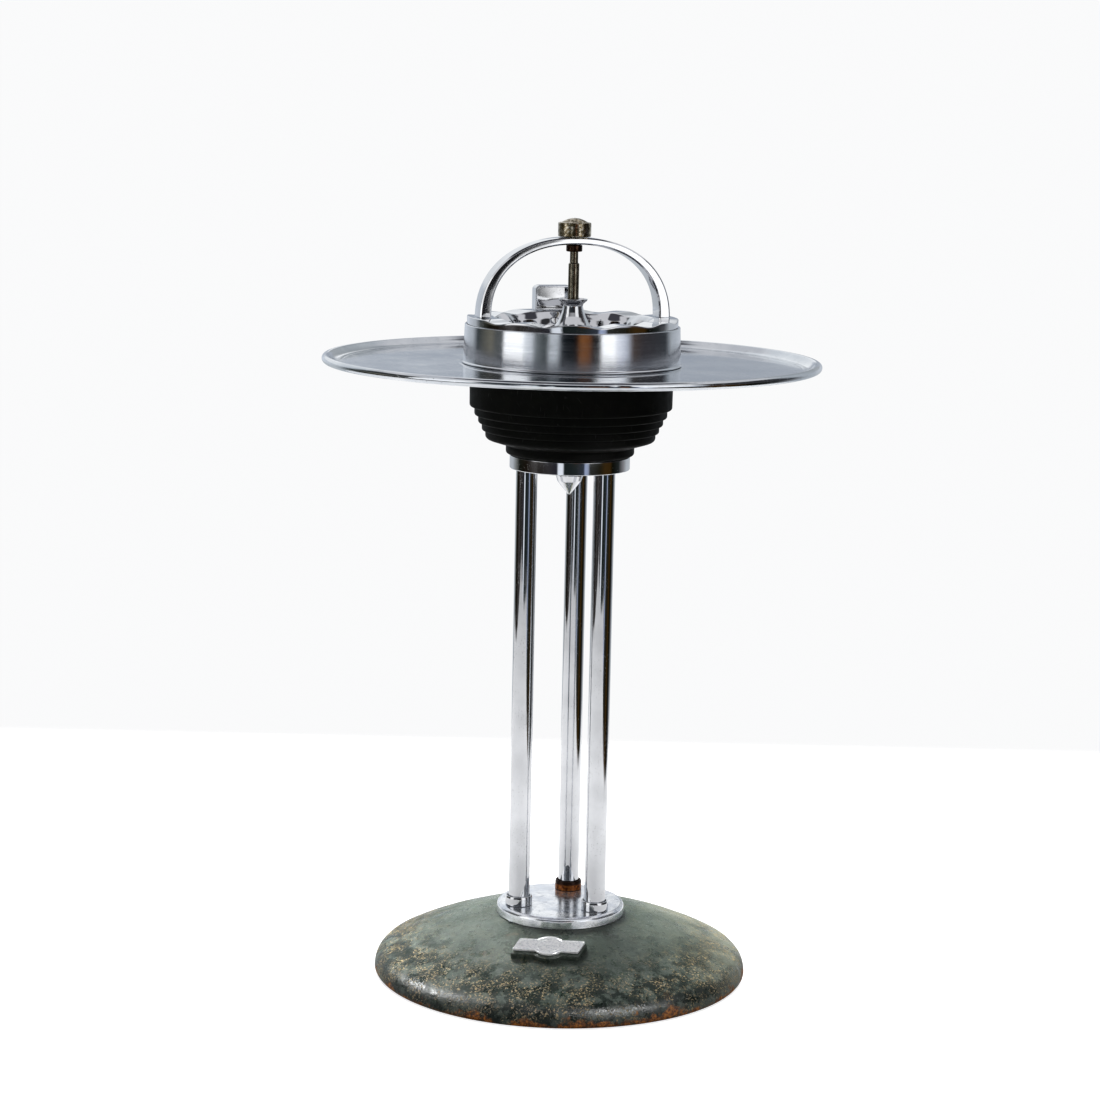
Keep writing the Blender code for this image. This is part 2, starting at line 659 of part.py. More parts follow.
def make_drum():
    """Satin drum on the tray: a beaded foot with an inward flange, and a rebated lip for the receiver."""
    low = TRAY_FLOOR_Z + GAP
    outline = [(TRAY_HOLE, low)]
    outline += [(DRUM_FOOT_RADIUS + ease, low + rise) for ease, rise in DRUM_FOOT_EASE]
    outline += [
        (DRUM_LOW_RADIUS, low + DRUM_WALL_LOW),
        (DRUM_TOP_RADIUS, DRUM_TOP_Z - DRUM_WALL_TOP),
        (DRUM_TOP_RADIUS, DRUM_TOP_Z - EDGE),
        (DRUM_TOP_RADIUS - EDGE, DRUM_TOP_Z),
        (DRUM_REBATE_RADIUS, DRUM_TOP_Z),
        (DRUM_REBATE_RADIUS, DRUM_LEDGE_Z),
        (DRUM_LIP_INNER, DRUM_LEDGE_Z),
        (DRUM_LIP_INNER, DRUM_LEDGE_Z - DRUM_SHEET),
        (DRUM_TOP_RADIUS - DRUM_SHEET - DRUM_INNER_EASE, DRUM_LEDGE_Z - DRUM_SHEET),
        (DRUM_LOW_RADIUS - DRUM_SHEET, low + DRUM_SHEET),
        (TRAY_HOLE, low + DRUM_SHEET),
    ]
    drum = turned("drum", outline, DRUM_SIDES, "satin_chrome")
    for index, side in enumerate(TRAY_SCREW_NAMES):
        at = screw_place(index)
        bore(drum, SCREW_HOLE, at, low - CUT_MARGIN, low + DRUM_SHEET + CUT_MARGIN, HOLE_SIDES)
        frame = Matrix.Translation((at[0], at[1], low + DRUM_SHEET + GAP))
        screw("tray_screw_" + side, "steel", TRAY_SCREW, frame)


def make_can(parent):
    """Lift-out ash can with a beaded rim, standing on the bowl's shelf."""
    low = CAN_SHELF_Z + GAP
    floor = low + CAN_SHEET
    outline = [(0.0, low)]
    outline += [(CAN_BOTTOM_RADIUS + ease, low + rise) for ease, rise in CAN_CORNER]
    outline.append((CAN_TOP_RADIUS, CAN_TOP_Z))
    outline += arc((CAN_TOP_RADIUS + CAN_BEAD, CAN_TOP_Z + CAN_BEAD), CAN_BEAD, -90.0, 180.0, 4)
    outline += [
        (CAN_TOP_RADIUS - CAN_INNER, CAN_TOP_Z),
        (CAN_BOTTOM_RADIUS - CAN_INNER, low + CAN_INNER_LOW),
        (CAN_BOTTOM_RADIUS + CAN_CORNER[0][0], floor),
        (0.0, floor),
    ]
    turned("ash_can", outline, CAN_SIDES, "tinplate", parent)


def ramp(value, low, high):
    """0 below low, 1 above high, straight between."""
    return min(1.0, max(0.0, (value - low) / (high - low)))


def rest_fall(x, y, z):
    """Fall of the dish's sheet at a point: the troughs where cigarettes rest, open through the band."""
    radius = math.hypot(x, y)
    pitch = 2.0 * math.pi / FLUTE_COUNT
    index = round(math.atan2(y, x) / pitch)
    if index % FLUTE_COUNT not in REST_INDEXES:
        return 0.0
    aside = radius * math.sin(abs(math.atan2(y, x) - index * pitch))
    depth = REST_DEPTH * math.cos(min(1.0, aside / REST_HALF_WIDTH) * math.pi / 2.0) ** 2
    if radius > DISH_LAND_INNER + DISH_SHEET:
        return depth * ramp(z, DISH_BAND_LOW_Z, DISH_TOP_Z - DISH_SHEET)
    middle = (DISH_WALL_LOW_Z + DISH_TOP_Z) / 2.0
    return depth * ramp(z, middle, DISH_TOP_Z - DISH_SHEET)


def flute_swell(x, y, z):
    """Outward swell of the dish's wall at a point: hollows in line with the rests, ridges between them."""
    if math.hypot(x, y) > DISH_LAND_INNER + DISH_SHEET:
        return 0.0
    level = ramp(z, DISH_WALL_LOW_Z, DISH_TOP_Z)
    return FLUTE_SPREAD * 4.0 * level * (1.0 - level) * math.cos(FLUTE_COUNT * math.atan2(y, x))


def make_dish(parent):
    """Receiver dish: a band that sits in the rebate, a flat land with rests, a fluted wall and a hole."""
    sheet = DISH_SHEET
    land = DISH_TOP_Z
    outline = [
        (DISH_RADIUS, DISH_BAND_LOW_Z),
        (DISH_RADIUS, land - DISH_BAND_EASE[1]),
        (DISH_RADIUS - DISH_BAND_EASE[0], land),
        (DISH_LAND_INNER, land),
    ]
    outline += [(radius, land - drop) for radius, drop in DISH_WALL]
    outline += [(DISH_HOLE, DISH_HOLE_Z), (DISH_HOLE, DISH_HOLE_Z - sheet)]
    outline += [(radius, land - drop) for radius, drop in DISH_UNDER]
    outline += [(DISH_RADIUS - sheet, land - sheet), (DISH_RADIUS - sheet, DISH_BAND_LOW_Z)]
    bm = turned_mesh(outline, DISH_STEPS)
    for vertex in bm.verts:
        x, y, z = vertex.co
        radius = math.hypot(x, y)
        stretch = 1.0 + flute_swell(x, y, z) / radius
        vertex.co = (x * stretch, y * stretch, z - rest_fall(x, y, z))
    dish = place("dish", bm, "polished_chrome", parent)
    for side in (-1, 1):
        low = land - sheet - CUT_MARGIN
        high = land + CUT_MARGIN
        bore(dish, ARCH_SCREW_DISH_HOLE, (side * ARCH_HALF_SPAN, 0.0), low, high, HOLE_SIDES)
        bore(dish, HOLDER_RIVET_HOLE, holder_rivet_place(side), low, high, HOLE_SIDES)


def arch_section(angle):
    """Ring of points across the handle arch at an angle along its half superellipse."""
    low = DISH_TOP_Z + GAP
    rise = ARCH_CROWN_Z - ARCH_CROWN_THICKNESS / 2.0 - low
    along = math.cos(angle)
    across = max(0.0, math.sin(angle))
    half = (ARCH_LEG_THICKNESS + (ARCH_CROWN_THICKNESS - ARCH_LEG_THICKNESS) * across) / 2.0
    centre_x = math.copysign(ARCH_HALF_SPAN * abs(along) ** ARCH_EXPONENT, along)
    centre_z = low + rise * across**ARCH_EXPONENT
    normal_x = math.copysign(abs(along) ** (2.0 - ARCH_EXPONENT) / ARCH_HALF_SPAN, along)
    normal_z = across ** (2.0 - ARCH_EXPONENT) / rise
    length = math.hypot(normal_x, normal_z)
    side = ARCH_WIDTH / 2.0
    chamfer = ARCH_CHAMFER
    corners = (
        (half, side - chamfer),
        (half - chamfer, side),
        (chamfer - half, side),
        (-half, side - chamfer),
        (-half, chamfer - side),
        (chamfer - half, -side),
        (half - chamfer, -side),
        (half, chamfer - side),
    )
    points = []
    for out, y in corners:
        points.append((centre_x + out * normal_x / length, y, centre_z + out * normal_z / length))
    return points


def make_arch(parent):
    """Handle arch: a tapered bar swept over a half superellipse, screwed to the dish from below."""
    bm = bmesh.new()
    rings = []
    for index in range(ARCH_STEPS + 1):
        points = arch_section(math.pi * index / ARCH_STEPS)
        rings.append([bm.verts.new(point) for point in points])
    for ring, following in zip(rings, rings[1:]):
        for corner in range(len(ring)):
            onward = (corner + 1) % len(ring)
            bm.faces.new((ring[corner], ring[onward], following[onward], following[corner]))
    bm.faces.new(rings[0])
    bm.faces.new(rings[-1])
    arch = place("handle_arch", bm, "polished_chrome", parent)
    crown_low = ARCH_CROWN_Z - ARCH_BORE_DEPTH
    crown_high = ARCH_CROWN_Z + CUT_MARGIN
    bore(arch, BUSH_SLEEVE_RADIUS + GAP, (0.0, 0.0), crown_low, crown_high, SMALL_SIDES)
    foot = DISH_TOP_Z + GAP
    under = DISH_TOP_Z - DISH_SHEET - GAP
    for side, word in ((-1, "left"), (1, "right")):
        at = (side * ARCH_HALF_SPAN, 0.0)
        bore(arch, ARCH_SCREW_HOLE, at, foot - CUT_MARGIN, foot + ARCH_SCREW[-1], HOLE_SIDES)
        frame = Matrix.Translation((at[0], at[1], under)) @ Matrix.Rotation(math.pi, 4, "X")
        screw("arch_screw_" + word, "steel", ARCH_SCREW, frame, parent)


def make_guide_bush(parent):
    """Shouldered bush in the crown of the arch that guides the plunger."""
    sleeve_top = ARCH_CROWN_Z - EDGE
    outline = [
        (BUSH_BORE, sleeve_top),
        (BUSH_SLEEVE_RADIUS, sleeve_top),
        (BUSH_SLEEVE_RADIUS, BUSH_TOP_Z),
        (BUSH_RADIUS - SOFT_EDGE, BUSH_TOP_Z),
        (BUSH_RADIUS, BUSH_TOP_Z - SOFT_EDGE),
        (BUSH_RADIUS, BUSH_LOW_Z + SOFT_EDGE),
        (BUSH_RADIUS - SOFT_EDGE, BUSH_LOW_Z),
        (BUSH_BORE, BUSH_LOW_Z),
    ]
    turned("guide_bush", outline, SMALL_SIDES, "worn_nickel", parent)


def make_rod_and_knob(parent):
    """Plunger rod with its stop shoulder, and the knob on its top."""
    rod = [
        (0.0, KNOB_BORE_Z - GAP),
        (PLUNGER_THIN, KNOB_BORE_Z - GAP),
        (PLUNGER_THIN, PLUNGER_SHOULDER_Z),
        (PLUNGER_THICK, PLUNGER_SHOULDER_Z - SHOULDER_CHAMFER),
        (PLUNGER_THICK, PLUNGER_TAIL_TOP_Z),
        (PLUNGER_TAIL_RADIUS, PLUNGER_TAIL_TOP_Z),
        (PLUNGER_TAIL_RADIUS, PLUNGER_LOW_Z),
        (0.0, PLUNGER_LOW_Z),
    ]
    turned("plunger_rod", rod, BORE_SIDES, "worn_nickel", parent)
    knob = [
        (0.0, KNOB_BORE_Z),
        (PLUNGER_THIN + GAP, KNOB_BORE_Z),
        (PLUNGER_THIN + GAP, KNOB_LOW_Z),
        (KNOB_RADIUS - SOFT_EDGE, KNOB_LOW_Z),
        (KNOB_RADIUS, KNOB_LOW_Z + SOFT_EDGE),
        (KNOB_RADIUS, KNOB_SIDE_Z - SOFT_EDGE),
        (KNOB_RADIUS - SOFT_EDGE, KNOB_SIDE_Z),
        (KNOB_RADIUS - KNOB_QUIRK[0], KNOB_SIDE_Z + KNOB_QUIRK[1]),
    ]
    knob += [(KNOB_RADIUS - ease, KNOB_TOP_Z - drop) for ease, drop in KNOB_DOME]
    knob.append((0.0, KNOB_TOP_Z))
    turned("knob", knob, TUBE_SIDES, "worn_nickel", parent)


def make_trap(parent):
    """Trumpet-shaped trap cone on the rod's tail, with the washer and nut that clamp it."""
    cup = PLUNGER_TAIL_TOP_Z - GAP
    skirt = DISH_HOLE_Z + CONE_SKIRT_RISE
    inner = PLUNGER_TAIL_RADIUS + GAP
    cone = [(inner, cup)]
    cone += [(radius, cup + rise) for radius, rise in CONE_CUP]
    cone += [(radius, skirt + rise) for radius, rise in CONE_SKIRT]
    cone += [(radius, cup + rise) for radius, rise in CONE_INNER]
    cone.append((inner, cup - CONE_NECK_DEPTH))
    turned("trap_cone", cone, TUBE_SIDES, "polished_chrome", parent)
    washer_low = skirt + TRAP_WASHER_RISE
    washer_top = washer_low + TRAP_WASHER_THICKNESS
    washer = [
        (inner, washer_top),
        (TRAP_WASHER_RADIUS, washer_top),
        (TRAP_WASHER_RADIUS, washer_low),
        (inner, washer_low),
    ]
    turned("trap_washer", washer, SMALL_SIDES, "steel", parent)
    nut_low = washer_low - GAP - NUT_THICKNESS
    hex_nut("trap_nut", (0.0, 0.0), nut_low, NUT_THICKNESS, "steel", parent)


def holder_rivet_place(side):
    """Plan position of a rivet of the match holder."""
    return (HOLDER_CENTRE_X + side * HOLDER_RIVET_X, (HOLDER_FRONT_Y + HOLDER_REAR_Y) / 2.0)


def holder_block(inset, floor, front, rear, round_radius):
    """Upright block with round top corners, as a bmesh, inset at its sides and top."""
    foot = DISH_TOP_Z + GAP
    top = foot + HOLDER_HEIGHT - inset
    half = HOLDER_HALF_WIDTH - inset
    outline = [(half, foot + floor)]
    outline += arc((half - round_radius, top - round_radius), round_radius, 0.0, 90.0, 3)
    outline += arc((round_radius - half, top - round_radius), round_radius, 90.0, 180.0, 3)
    outline.append((-half, foot + floor))
    bm = bmesh.new()
    face = bm.faces.new([bm.verts.new((HOLDER_CENTRE_X + x, front, z)) for x, z in outline])
    sweep = bmesh.ops.extrude_face_region(bm, geom=[face])
    far = [item for item in sweep["geom"] if isinstance(item, bmesh.types.BMVert)]
    bmesh.ops.translate(bm, verts=far, vec=(0.0, rear - front, 0.0))
    bmesh.ops.recalc_face_normals(bm, faces=bm.faces)
    return bm


def make_match_holder(parent):
    """Pressed holder at the rear of the land, open to the front, with two rivets through its floor."""
    sheet = HOLDER_SHEET
    body = holder_block(0.0, 0.0, HOLDER_FRONT_Y, HOLDER_REAR_Y, HOLDER_ROUND)
    holder = place("match_holder", body, "polished_chrome", parent)
    front = HOLDER_FRONT_Y - CUT_MARGIN
    pocket = holder_block(sheet, sheet, front, HOLDER_REAR_Y - sheet, HOLDER_ROUND - sheet)
    cut(holder, pocket, "DIFFERENCE")
    floor = DISH_TOP_Z + GAP + sheet
    for side, word in ((-1, "left"), (1, "right")):
        at = holder_rivet_place(side)
        bore(holder, HOLDER_RIVET_HOLE, at, floor - CUT_MARGIN, floor + CUT_MARGIN, HOLE_SIDES)
        frame = Matrix.Translation((at[0], at[1], floor + GAP))
        screw("holder_rivet_" + word, "steel", HOLDER_RIVET, frame, parent)


def make_badge():
    """Blank plate with a raised border, riveted to its seat on the base."""
    low = BADGE_SEAT_HEIGHT + GAP
    high = low + BADGE_THICKNESS
    bm = rounded_plate(BADGE_HALF_LENGTH, BADGE_HALF_HEIGHT, BADGE_CORNER, low, high)
    bmesh.ops.recalc_face_normals(bm, faces=bm.faces)
    bm.faces.ensure_lookup_table()
    face = max(bm.faces, key=lambda item: item.calc_center_median().z)
    bmesh.ops.inset_region(bm, faces=[face], thickness=BADGE_BORDER, depth=0.0)
    face = max(bm.faces, key=lambda item: item.calc_center_median().z * len(item.verts))
    bmesh.ops.translate(bm, verts=face.verts, vec=(0.0, 0.0, -BADGE_RECESS))
    bmesh.ops.transform(bm, matrix=badge_frame(0.0), verts=bm.verts)
    plate = place("badge_plate", bm, "badge_alloy")
    for side, word in ((-1, "left"), (1, "right")):
        at = (side * BADGE_RIVET_OFFSET, 0.0)
        bore(plate, BADGE_RIVET_HOLE, at, low - CUT_MARGIN, high + CUT_MARGIN, HOLE_SIDES, badge_frame(0.0))
        field = high - BADGE_RECESS + GAP
        frame = badge_frame(field) @ Matrix.Translation((at[0], at[1], 0.0))
        screw("badge_rivet_" + word, "badge_alloy", BADGE_RIVET, frame)


def lift_guide(name, parent=None):
    """Empty on the axis along which a group lifts."""
    guide = bpy.data.objects.new(name, None)
    bpy.context.scene.collection.objects.link(guide)
    guide.parent = parent
    return guide


def main():
    clear_scene()
    make_base()
    make_base_plate()
    make_columns()
    make_collar()
    make_centre_bolt()
    make_bowl()
    make_tray()
    make_drum()
    make_badge()
    can_lift = lift_guide("can_lift")
    receiver_lift = lift_guide("receiver_lift", can_lift)
    knob_lift = lift_guide("knob_lift", receiver_lift)
    make_can(can_lift)
    make_dish(receiver_lift)
    make_arch(receiver_lift)
    make_guide_bush(receiver_lift)
    make_match_holder(receiver_lift)
    make_rod_and_knob(knob_lift)
    make_trap(knob_lift)


main()
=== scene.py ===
"""Looks of a chrome smoking stand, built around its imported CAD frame. Metres, +Z up, frame's axes."""

import math

import bmesh
import bpy
from mathutils import Matrix, Vector, noise


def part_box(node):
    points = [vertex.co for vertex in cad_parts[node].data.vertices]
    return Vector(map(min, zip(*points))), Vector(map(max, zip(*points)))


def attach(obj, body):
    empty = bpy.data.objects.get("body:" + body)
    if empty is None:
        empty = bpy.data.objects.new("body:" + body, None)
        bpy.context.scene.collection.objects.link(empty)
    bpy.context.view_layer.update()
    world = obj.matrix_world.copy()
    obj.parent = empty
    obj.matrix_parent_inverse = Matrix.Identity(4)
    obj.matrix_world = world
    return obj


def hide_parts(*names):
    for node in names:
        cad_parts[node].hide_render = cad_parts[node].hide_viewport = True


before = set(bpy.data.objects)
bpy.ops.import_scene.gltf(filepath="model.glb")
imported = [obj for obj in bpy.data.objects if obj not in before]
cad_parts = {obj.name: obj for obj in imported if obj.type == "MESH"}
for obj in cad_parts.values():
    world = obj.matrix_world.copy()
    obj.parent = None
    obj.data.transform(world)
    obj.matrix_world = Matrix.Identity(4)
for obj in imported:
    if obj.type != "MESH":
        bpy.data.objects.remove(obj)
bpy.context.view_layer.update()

GAP = 0.0003
SMOOTH_ANGLE = math.radians(38.0)

# Camera, given round the axis of the stand: the view turned to the left of the receiver's front
VIEW_TURN = math.radians(15.5)
CAMERA_PLACE = (0.0003, -2.02, 0.6608)
CAMERA_PITCH = 0.165051
CAMERA_YAW = -0.006744
CAMERA_ROLL = 0.020244
CAMERA_LENS = 89.8
SENSOR_WIDTH = 36.0

# Stage
FLOOR_LEFT = -1.35
FLOOR_RIGHT = 0.64
FLOOR_FRONT = -1.55
FLOOR_BACK = 0.715
FLOOR_SOFTNESS = 0.05
PALE_WALL = (0.8, 0.802, 0.806)
CHROME = (0.76, 0.77, 0.79)
CHROME_HAZE = 0.05

# Base casting
BASE_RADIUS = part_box("base_casting")[1].x
CROWN_RADIUS = 0.2935
SHOULDER_RADIUS = 0.015
FOOT_INNER = 0.1305
SEAT_RADIUS = 0.0483
SEAT_Z = 0.045
WALL = 0.007
HUB_RADIUS = 0.046
HUB_Z = 0.03
CASTING_RIPPLE = 0.00022

# Badge
BADGE_ANGLE = math.radians(249.0)
BADGE_DISTANCE = 0.0786
BADGE_HALF_LENGTH = 0.026
BADGE_BAR_HALF = 0.0074
BADGE_SLANT = 0.3
BADGE_DISC = 0.0118
BADGE_THICKNESS = 0.0016
BADGE_SEAT_HEIGHT = 0.003
BADGE_SEAT_GROWTH = 0.0014
BADGE_SEAT_SAG = 0.002
BADGE_RIVET_OFFSET = 0.0215

# Base plate and columns
COLUMN_NAMES = ("rear", "left", "right")
TUBE_RADIUS = 0.0079375
TUBE_WALL = 0.0012
FERRULE_INNER = 0.00825
FERRULE_OUTER = 0.0101

# Collar and bowl
ROD_HOLE = 0.0035
BOWL_STEPS = ((0.075, 0.4318), (0.0714, 0.4254), (0.0685, 0.4197), (0.0657, 0.4141))
BOWL_ROUND = 0.0016
HIP_RADIUS = 0.06305
HIP_Z = 0.4105
RING_RADIUS = 0.04765
RING_TOP_Z = 0.4036
BOWL_MOUTH = 0.0665
BOWL_INNER = 0.0723
FLANGE_THICKNESS = 0.003
CAN_SHELF_Z = 0.4095
BOWL_FLOOR_Z = 0.3995

# Tray and drum
TRAY_HOLE = 0.066
TRAY_SEAT = 0.0832
TRAY_SEAT_Z = 0.4641
TRAY_FLOOR_Z = 0.4639
TRAY_SHEET = 0.001
BEAD_CENTRE = 0.1811
BEAD_Z = 0.4662
BEAD_RADIUS = 0.00295
TRAY_FLAT_RADIUS = 0.1697
# Fine raised line round the flat: distances beyond its edge and above the floor
TRAY_LINE = ((-0.0004, 0.00022), (0.0004, 0.00022), (0.0012, 0.0001))
# Knocks in the bead: angle and half width in radians, depth
TRAY_KNOCKS = (
    (4.62, 0.016, 0.0008), (4.35, 0.01, 0.0005), (5.02, 0.012, 0.0005), (0.9, 0.014, 0.0006),
    (2.7, 0.012, 0.0006),
)
DRUM_FOOT = 0.0811
DRUM_BOTTOM = 0.0803
DRUM_TOP = 0.0794
DRUM_LEDGE_Z = 0.4915
DRUM_REBATE = 0.0782
DRUM_LIP = 0.0736
DRUM_SHEET = 0.0014

# Ash can
CAN_BOTTOM = 0.055
CAN_TOP = 0.0605
CAN_BEAD = 0.0015
CAN_SHEET = 0.0012

# Dish
DISH_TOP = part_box("dish")[1].z
DISH_RADIUS = 0.0778
DISH_SHEET = 0.0012
LAND_INNER = 0.0585
DISH_WALL_LOW_Z = 0.48
DISH_HOLE = 0.027
DISH_HOLE_Z = 0.4789
DISH_LOW_BAND = 0.4918
BAND_DRAFT = 0.0002
FLUTE_COUNT = 12
FLUTE_SPREAD = 0.0019
REST_HALF_WIDTH = 0.0165
REST_DEPTH = 0.002
REST_INDEXES = (1, 2, 4, 5, 7, 8, 9, 10, 11)

# Handle arch
ARCH_FOOT, ARCH_TOP = (corner.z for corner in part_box("handle_arch"))
ARCH_HALF_SPAN = 0.068
ARCH_WIDTH = 0.0182
ARCH_CHAMFER = 0.0011
ARCH_LEG = 0.0086
ARCH_CROWN = 0.0052
ARCH_EXPONENT = 0.9

# Bush and plunger
BUSH_RADIUS = 0.00595
BUSH_TOP_Z = 0.5513
BUSH_SLEEVE = 0.0044
BUSH_BORE = 0.0033
ROD_THIN = 0.00305
ROD_THICK = 0.004
ROD_SHOULDER_Z = 0.5384
ROD_TAIL = 0.0029
ROD_TAIL_TOP_Z = 0.5091
KNOB_RADIUS = 0.01215
KNOB_SIDE_Z = 0.5676
KNOB_BORE_Z = 0.5645

# Match holder
HOLDER_CENTRE_X = 0.0015
HOLDER_HALF_WIDTH = 0.0145
HOLDER_FRONT_Y = 0.059
HOLDER_REAR_Y = 0.07
HOLDER_HEIGHT = 0.0185
HOLDER_SHEET = 0.0013
HOLDER_ROUND = 0.0032


# ---- materials


class Nodes:
    """A node tree with short names for what is used most."""

    def __init__(self, tree):
        self.tree = tree

    def add(self, kind, **settings):
        """A new node with its plain settings."""
        node = self.tree.nodes.new(kind)
        for key, value in settings.items():
            setattr(node, key, value)
        return node

    def feed(self, socket, value):
        """Link an output to a socket, or set the socket to a plain value."""
        if isinstance(value, bpy.types.NodeSocket):
            self.tree.links.new(value, socket)
        else:
            socket.default_value = value

    def fed(self, kind, *values, **settings):
        """A new node whose first inputs are fed in order."""
        node = self.add(kind, **settings)
        for socket, value in zip(node.inputs, values):
            self.feed(socket, value)
        return node

    def maths(self, operation, *values):
        return self.fed("ShaderNodeMath", *values, operation=operation).outputs[0]

    def times(self, first, second):
        return self.maths("MULTIPLY", first, second)

    def plus(self, total, *others):
        for other in others:
            total = self.maths("ADD", total, other)
        return total

    def ramp(self, value, low, high, to_low=0.0, to_high=1.0):
        """Smooth step of a value between two levels."""
        numbers = (value, low, high, to_low, to_high)
        return self.fed("ShaderNodeMapRange", *numbers, interpolation_type="SMOOTHSTEP").outputs["Result"]

    def blend(self, factor, first, second):
        """Colour between two colours."""
        node = self.fed("ShaderNodeMix", factor, data_type="RGBA")
        for socket, colour in ((node.inputs[6], first), (node.inputs[7], second)):
            self.feed(socket, (*colour, 1.0) if isinstance(colour, tuple) else colour)
        return node.outputs[2]


class Look(Nodes):
    """A procedural material in the making: its shader and the object's own coordinates."""

    def __init__(self, name, slot, colour, metallic, roughness):
        self.material = bpy.data.materials.new(name)
        self.material["slot"] = slot
        self.material.use_nodes = True
        super().__init__(self.material.node_tree)
        self.shader = self.tree.nodes["Principled BSDF"]
        self.colour = colour
        self.put("Base Color", (*colour, 1.0))
        self.put("Metallic", metallic)
        self.put("Roughness", roughness)
        self.place = self.add("ShaderNodeTexCoord").outputs["Object"]

    def put(self, name, value):
        """Set or link one input of the shader."""
        self.feed(self.shader.inputs[name], value)

    def tint(self, mask, tone, share=1.0):
        """Lay a share of another colour over the colour so far, where a mask shows."""
        self.colour = self.blend(self.times(mask, share) if share < 1.0 else mask, self.colour, tone)

    def finished(self, roughness, *reliefs):
        """The material with its colour so far, its roughness and reliefs of (height, depth)."""
        self.put("Base Color", self.colour)
        self.put("Roughness", roughness)
        for height, depth in reliefs:
            self.bump(height, depth)
        return self.material

    def mapped(self, scale, turn=(0.0, 0.0, 0.0)):
        """The object's coordinates turned and then scaled along each axis."""
        rotated = self.fed("ShaderNodeVectorRotate", self.place, rotation_type="EULER_XYZ")
        self.feed(rotated.inputs["Rotation"], turn)
        return self.fed("ShaderNodeVectorMath", rotated.outputs[0], scale, operation="MULTIPLY").outputs[0]

    def axis(self, letter):
        """One coordinate of the object's own position."""
        return self.fed("ShaderNodeSeparateXYZ", self.place).outputs[letter.upper()]

    def radius(self):
        """Distance from the stand's axis."""
        squares = [self.maths("POWER", self.axis(letter), 2.0) for letter in "xy"]
        return self.maths("SQRT", self.plus(*squares))

    def noise(self, scale, detail=4.0, roughness=0.55, source=None):
        """Soft cloudy value between 0 and 1; scale is in blobs per metre."""
        node = self.add("ShaderNodeTexNoise")
        names = ("Vector", "Scale", "Detail", "Roughness")
        for name, value in zip(names, (source or self.place, scale, detail, roughness)):
            self.feed(node.inputs[name], value)
        return node.outputs["Fac"]

    def grain(self, across, along, detail=2.0, roughness=0.6):
        """Fine turned lines round an upright axis."""
        return self.noise(1.0, detail, roughness, self.mapped((across, across, along)))

    def scratches(self, length, width, amount, turns=(0.3, 1.4, 2.5)):
        """Thin straight marks in a few directions; amount is the share that shows, from 0 to 1."""
        total = 0.0
        for index, turn in enumerate(turns):
            spread = self.mapped((1.0 / length, 1.0 / width, 1.0 / length), (0.4 * index, 0.0, turn))
            marks = self.noise(1.0, 1.0, 0.5, spread)
            total = self.maths("MAXIMUM", self.ramp(marks, 0.76 - 0.08 * amount, 0.8), total)
        return total

    def specks(self, scale, size, patches, threshold):
        """Small spots, gathered where a broader noise of patches per metre passes a threshold."""
        cells = self.add("ShaderNodeTexVoronoi")
        self.feed(cells.inputs["Vector"], self.place)
        self.feed(cells.inputs["Scale"], scale)
        spots = self.ramp(cells.outputs["Distance"], size, size * 0.5)
        return self.times(spots, self.ramp(self.noise(patches, 2.0), threshold, threshold + 0.1))

    def bump(self, height, depth):
        """Relief: height from 0 to 1 times depth in metres, on top of any relief already there."""
        node = self.add("ShaderNodeBump")
        for name, value in (("Strength", 1.0), ("Distance", depth), ("Height", height)):
            self.feed(node.inputs[name], value)
        links = self.shader.inputs["Normal"].links
        if links:
            self.feed(node.inputs["Normal"], links[0].from_socket)
        self.put("Normal", node.outputs["Normal"])

    def pitted(self, spots, depth):
        """Relief that sinks where there are spots."""
        return (self.maths("SUBTRACT", 1.0, spots), depth)


def polished_chrome(name, pits=0.5, wave=0.00003):
    """Bright plate with faint clouding, hairline scratches and small dark pits."""
    look = Look(name, "polished_chrome", CHROME, 1.0, CHROME_HAZE)
    clouds = look.noise(38.0, 5.0, 0.6)
    pit = look.specks(620.0, 0.16, 30.0, 0.62 - 0.12 * pits)
    marks = look.scratches(0.03, 0.00022, 0.35)
    dulled = tuple(0.87 * channel for channel in CHROME)
    look.colour = look.blend(look.ramp(clouds, 0.35, 0.7), CHROME, dulled)
    rough = look.ramp(clouds, 0.4, 0.75, 0.7 * CHROME_HAZE, 2.0 * CHROME_HAZE)
    look.tint(pit, (0.16, 0.15, 0.13))
    return look.finished(
        look.plus(rough, look.times(marks, 0.12), look.times(pit, 0.3)), (look.noise(30.0, 2.0), wave),
        look.pitted(pit, 0.00004),
    )


def plate_chrome():
    """Base plate: bright plate gone cloudy and mottled, with fine marks."""
    look = Look("plate_chrome_look", "polished_chrome", (0.84, 0.86, 0.9), 0.85, 0.18)
    clouds = look.noise(70.0, 6.0, 0.62)
    bloom = look.noise(230.0, 5.0, 0.65)
    pit = look.specks(700.0, 0.2, 60.0, 0.52)
    marks = look.scratches(0.02, 0.00025, 0.7)
    look.colour = look.blend(look.ramp(clouds, 0.36, 0.66), (0.74, 0.77, 0.83), (0.97, 0.98, 0.99))
    look.tint(look.ramp(bloom, 0.55, 0.7, 0.0, 0.5), (0.48, 0.51, 0.58))
    look.tint(pit, (0.12, 0.12, 0.13), 0.7)
    return look.finished(
        look.plus(look.ramp(bloom, 0.3, 0.7, 0.1, 0.26), look.times(marks, 0.15)), (clouds, 0.00012),
        (bloom, 0.00004),
    )


